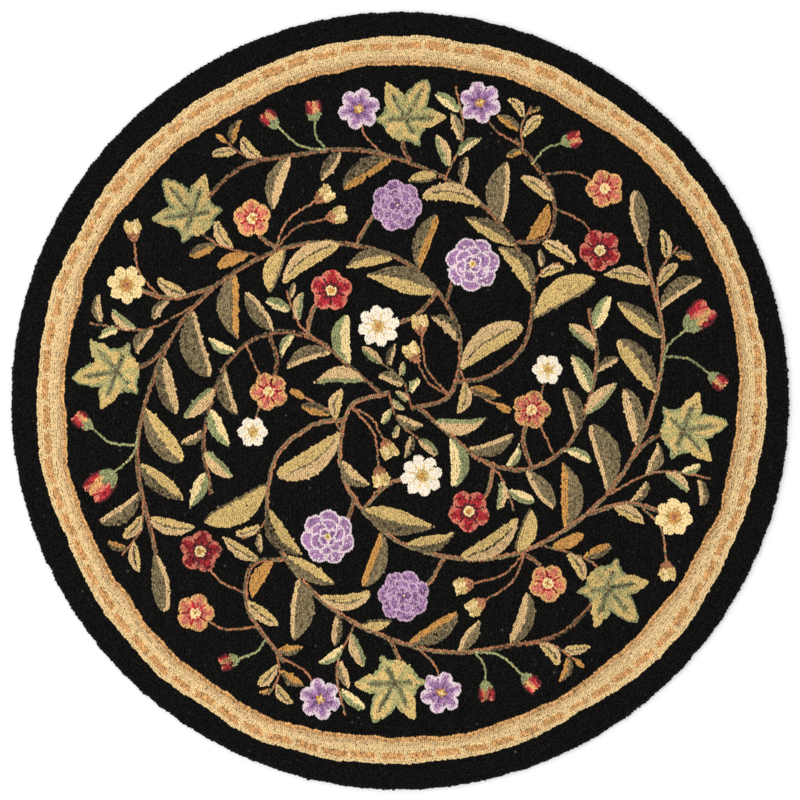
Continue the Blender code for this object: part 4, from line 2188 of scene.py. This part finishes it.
@dataclass
class HookedRug:
    """The whole rug: its foundation, and the loops that cover it."""

    size: RugSize
    fine: LoopShape = LoopShape((4.6, 4.6, 2.7), (0.41, 0.41), (0.92, 1.09, 1.0))
    plain: LoopShape = LoopShape((4.6, 4.3, 2.7), (0.46, 0.0))

    def build(self) -> list[bpy.types.Object]:
        """Design, hook and dress the rug.

        Returns:
            Its pieces.
        """
        wools = {yarn: wool.material(f"{yarn.name.lower()}_dyed_wool") for yarn, wool in DYES.items()}
        canvas = CottonCanvas().material("woven_cotton_canvas")
        foundation = Foundation(self.size).build(wools[Yarn.BLACK], canvas)
        objects = [piece.build(wools) for piece in self._pieces()]
        across = 2 * self.size.outline.radius_mm * MM
        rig.sheet(
            foundation,
            flat=(across, across),
            held="laid",
            area=math.pi * (across / 2) ** 2,
            with_pieces=objects,
        )
        return [foundation, *objects]

    def design(self) -> Plan:
        """Draw the rug's design.

        Returns:
            The finished plan.
        """
        plan = Plan(self.size.outline.radius_mm + 2, self.size.row_mm)
        for part in (Border, Rim, Garden, Ground):
            part(plan, self.size).draw()
        return plan

    def _pieces(self) -> list[LoopPiece]:
        """Hook the design and sort its loops into pieces, the largest parts in two halves.

        Returns:
            The pieces, still to be built.
        """
        plan = self.design()
        maker = PileMaker(plan, self.size)
        loops = Hooker(plan, self.size).hook()
        pile = maker.flat(loops)
        upper = pile.root[:, 1] >= 0
        pieces = []
        for kind in Part:
            shape = self.plain if kind in PLAIN_PARTS else self.fine
            mine = plan.are(kind)[loops.motif]
            if kind in HALVED_PARTS:
                for half, chosen in (("upper", mine & upper), ("lower", mine & ~upper)):
                    pieces.append(LoopPiece(f"{kind.value}_{half}", pile.only(chosen), shape))
                continue
            part = pile.only(mine)
            if kind is Part.RIM:
                part = Pile.joined([part, maker.rolled()])
            pieces.append(LoopPiece(kind.value, part, shape))
        return pieces


# --------------------------------------------------------------------------- the studio


@dataclass(frozen=True)
class Studio:
    """A pale floor, soft light and a camera straight above."""

    picture_m: float = 1.2529
    lens_mm: float = 85.0
    sensor_mm: float = 36.0
    camera_at: tuple[float, float] = (-0.0003, 0.0013)
    camera_reach: float = 60.0
    floor_half: float = 12.0
    key_at: tuple[float, float, float] = (-1.65, 0.14, 2.9)
    key_side: float = 2.2
    key_watts: float = 35.0
    sky: float = 0.915

    def build(self, top_m: float) -> None:
        """Set up the floor, the light and the camera.

        Args:
            top_m: The height of the rug's top.
        """
        scene = bpy.context.scene
        bm = bmesh.new()
        bmesh.ops.create_grid(bm, x_segments=1, y_segments=1, size=self.floor_half)
        paint = PaintedFloor().material("painted_floor")
        floor = add_object("studio_floor", mesh_of(bm, "studio_floor", paint))
        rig.stage(floor)
        scene.world = bpy.data.worlds.new("soft_daylight")
        scene.world.use_nodes = True
        sky = scene.world.node_tree.nodes["Background"].inputs
        sky["Color"].default_value = (1.0, 1.0, 1.0, 1.0)
        sky["Strength"].default_value = self.sky
        light = bpy.data.lights.new("key_softbox", "AREA")
        light.size, light.energy = self.key_side, self.key_watts
        softbox = add_object("key_softbox", light)
        softbox.location = self.key_at
        softbox.rotation_euler = (-Vector(self.key_at)).to_track_quat("-Z", "Y").to_euler()
        scene.view_settings.view_transform = "Standard"
        camera = bpy.data.cameras.new("camera")
        camera.lens, camera.sensor_width = self.lens_mm, self.sensor_mm
        camera.clip_end = self.camera_reach
        scene.camera = add_object("camera", camera)
        scene.camera.location = (*self.camera_at, top_m + self.picture_m * self.lens_mm / self.sensor_mm)


def write_sizes(before: tuple[Vector, Vector], after: tuple[Vector, Vector]) -> None:
    """Args:
        before: The box straight after the frame was loaded.
        after: The box of the finished visual model.
    """
    boxes = {"cad": before, "visual": after}
    with open(SIZE_FILE, "w", encoding="utf-8") as file:
        json.dump({name: [list(corner) for corner in box] for name, box in boxes.items()}, file, indent=1)


def main() -> None:
    """Build the rug and the studio, and report each piece."""
    logging.basicConfig(level=logging.INFO, format="%(message)s")
    cad_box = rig.bounds()
    size = RugSize.from_frame()
    pieces = HookedRug(size).build()
    LOG.info("%d pieces: %s", len(pieces), ", ".join(p.name for p in pieces))
    Studio().build(size.thickness_mm * MM)
    write_sizes(cad_box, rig.bounds())


if __name__ == "__main__":
    main()
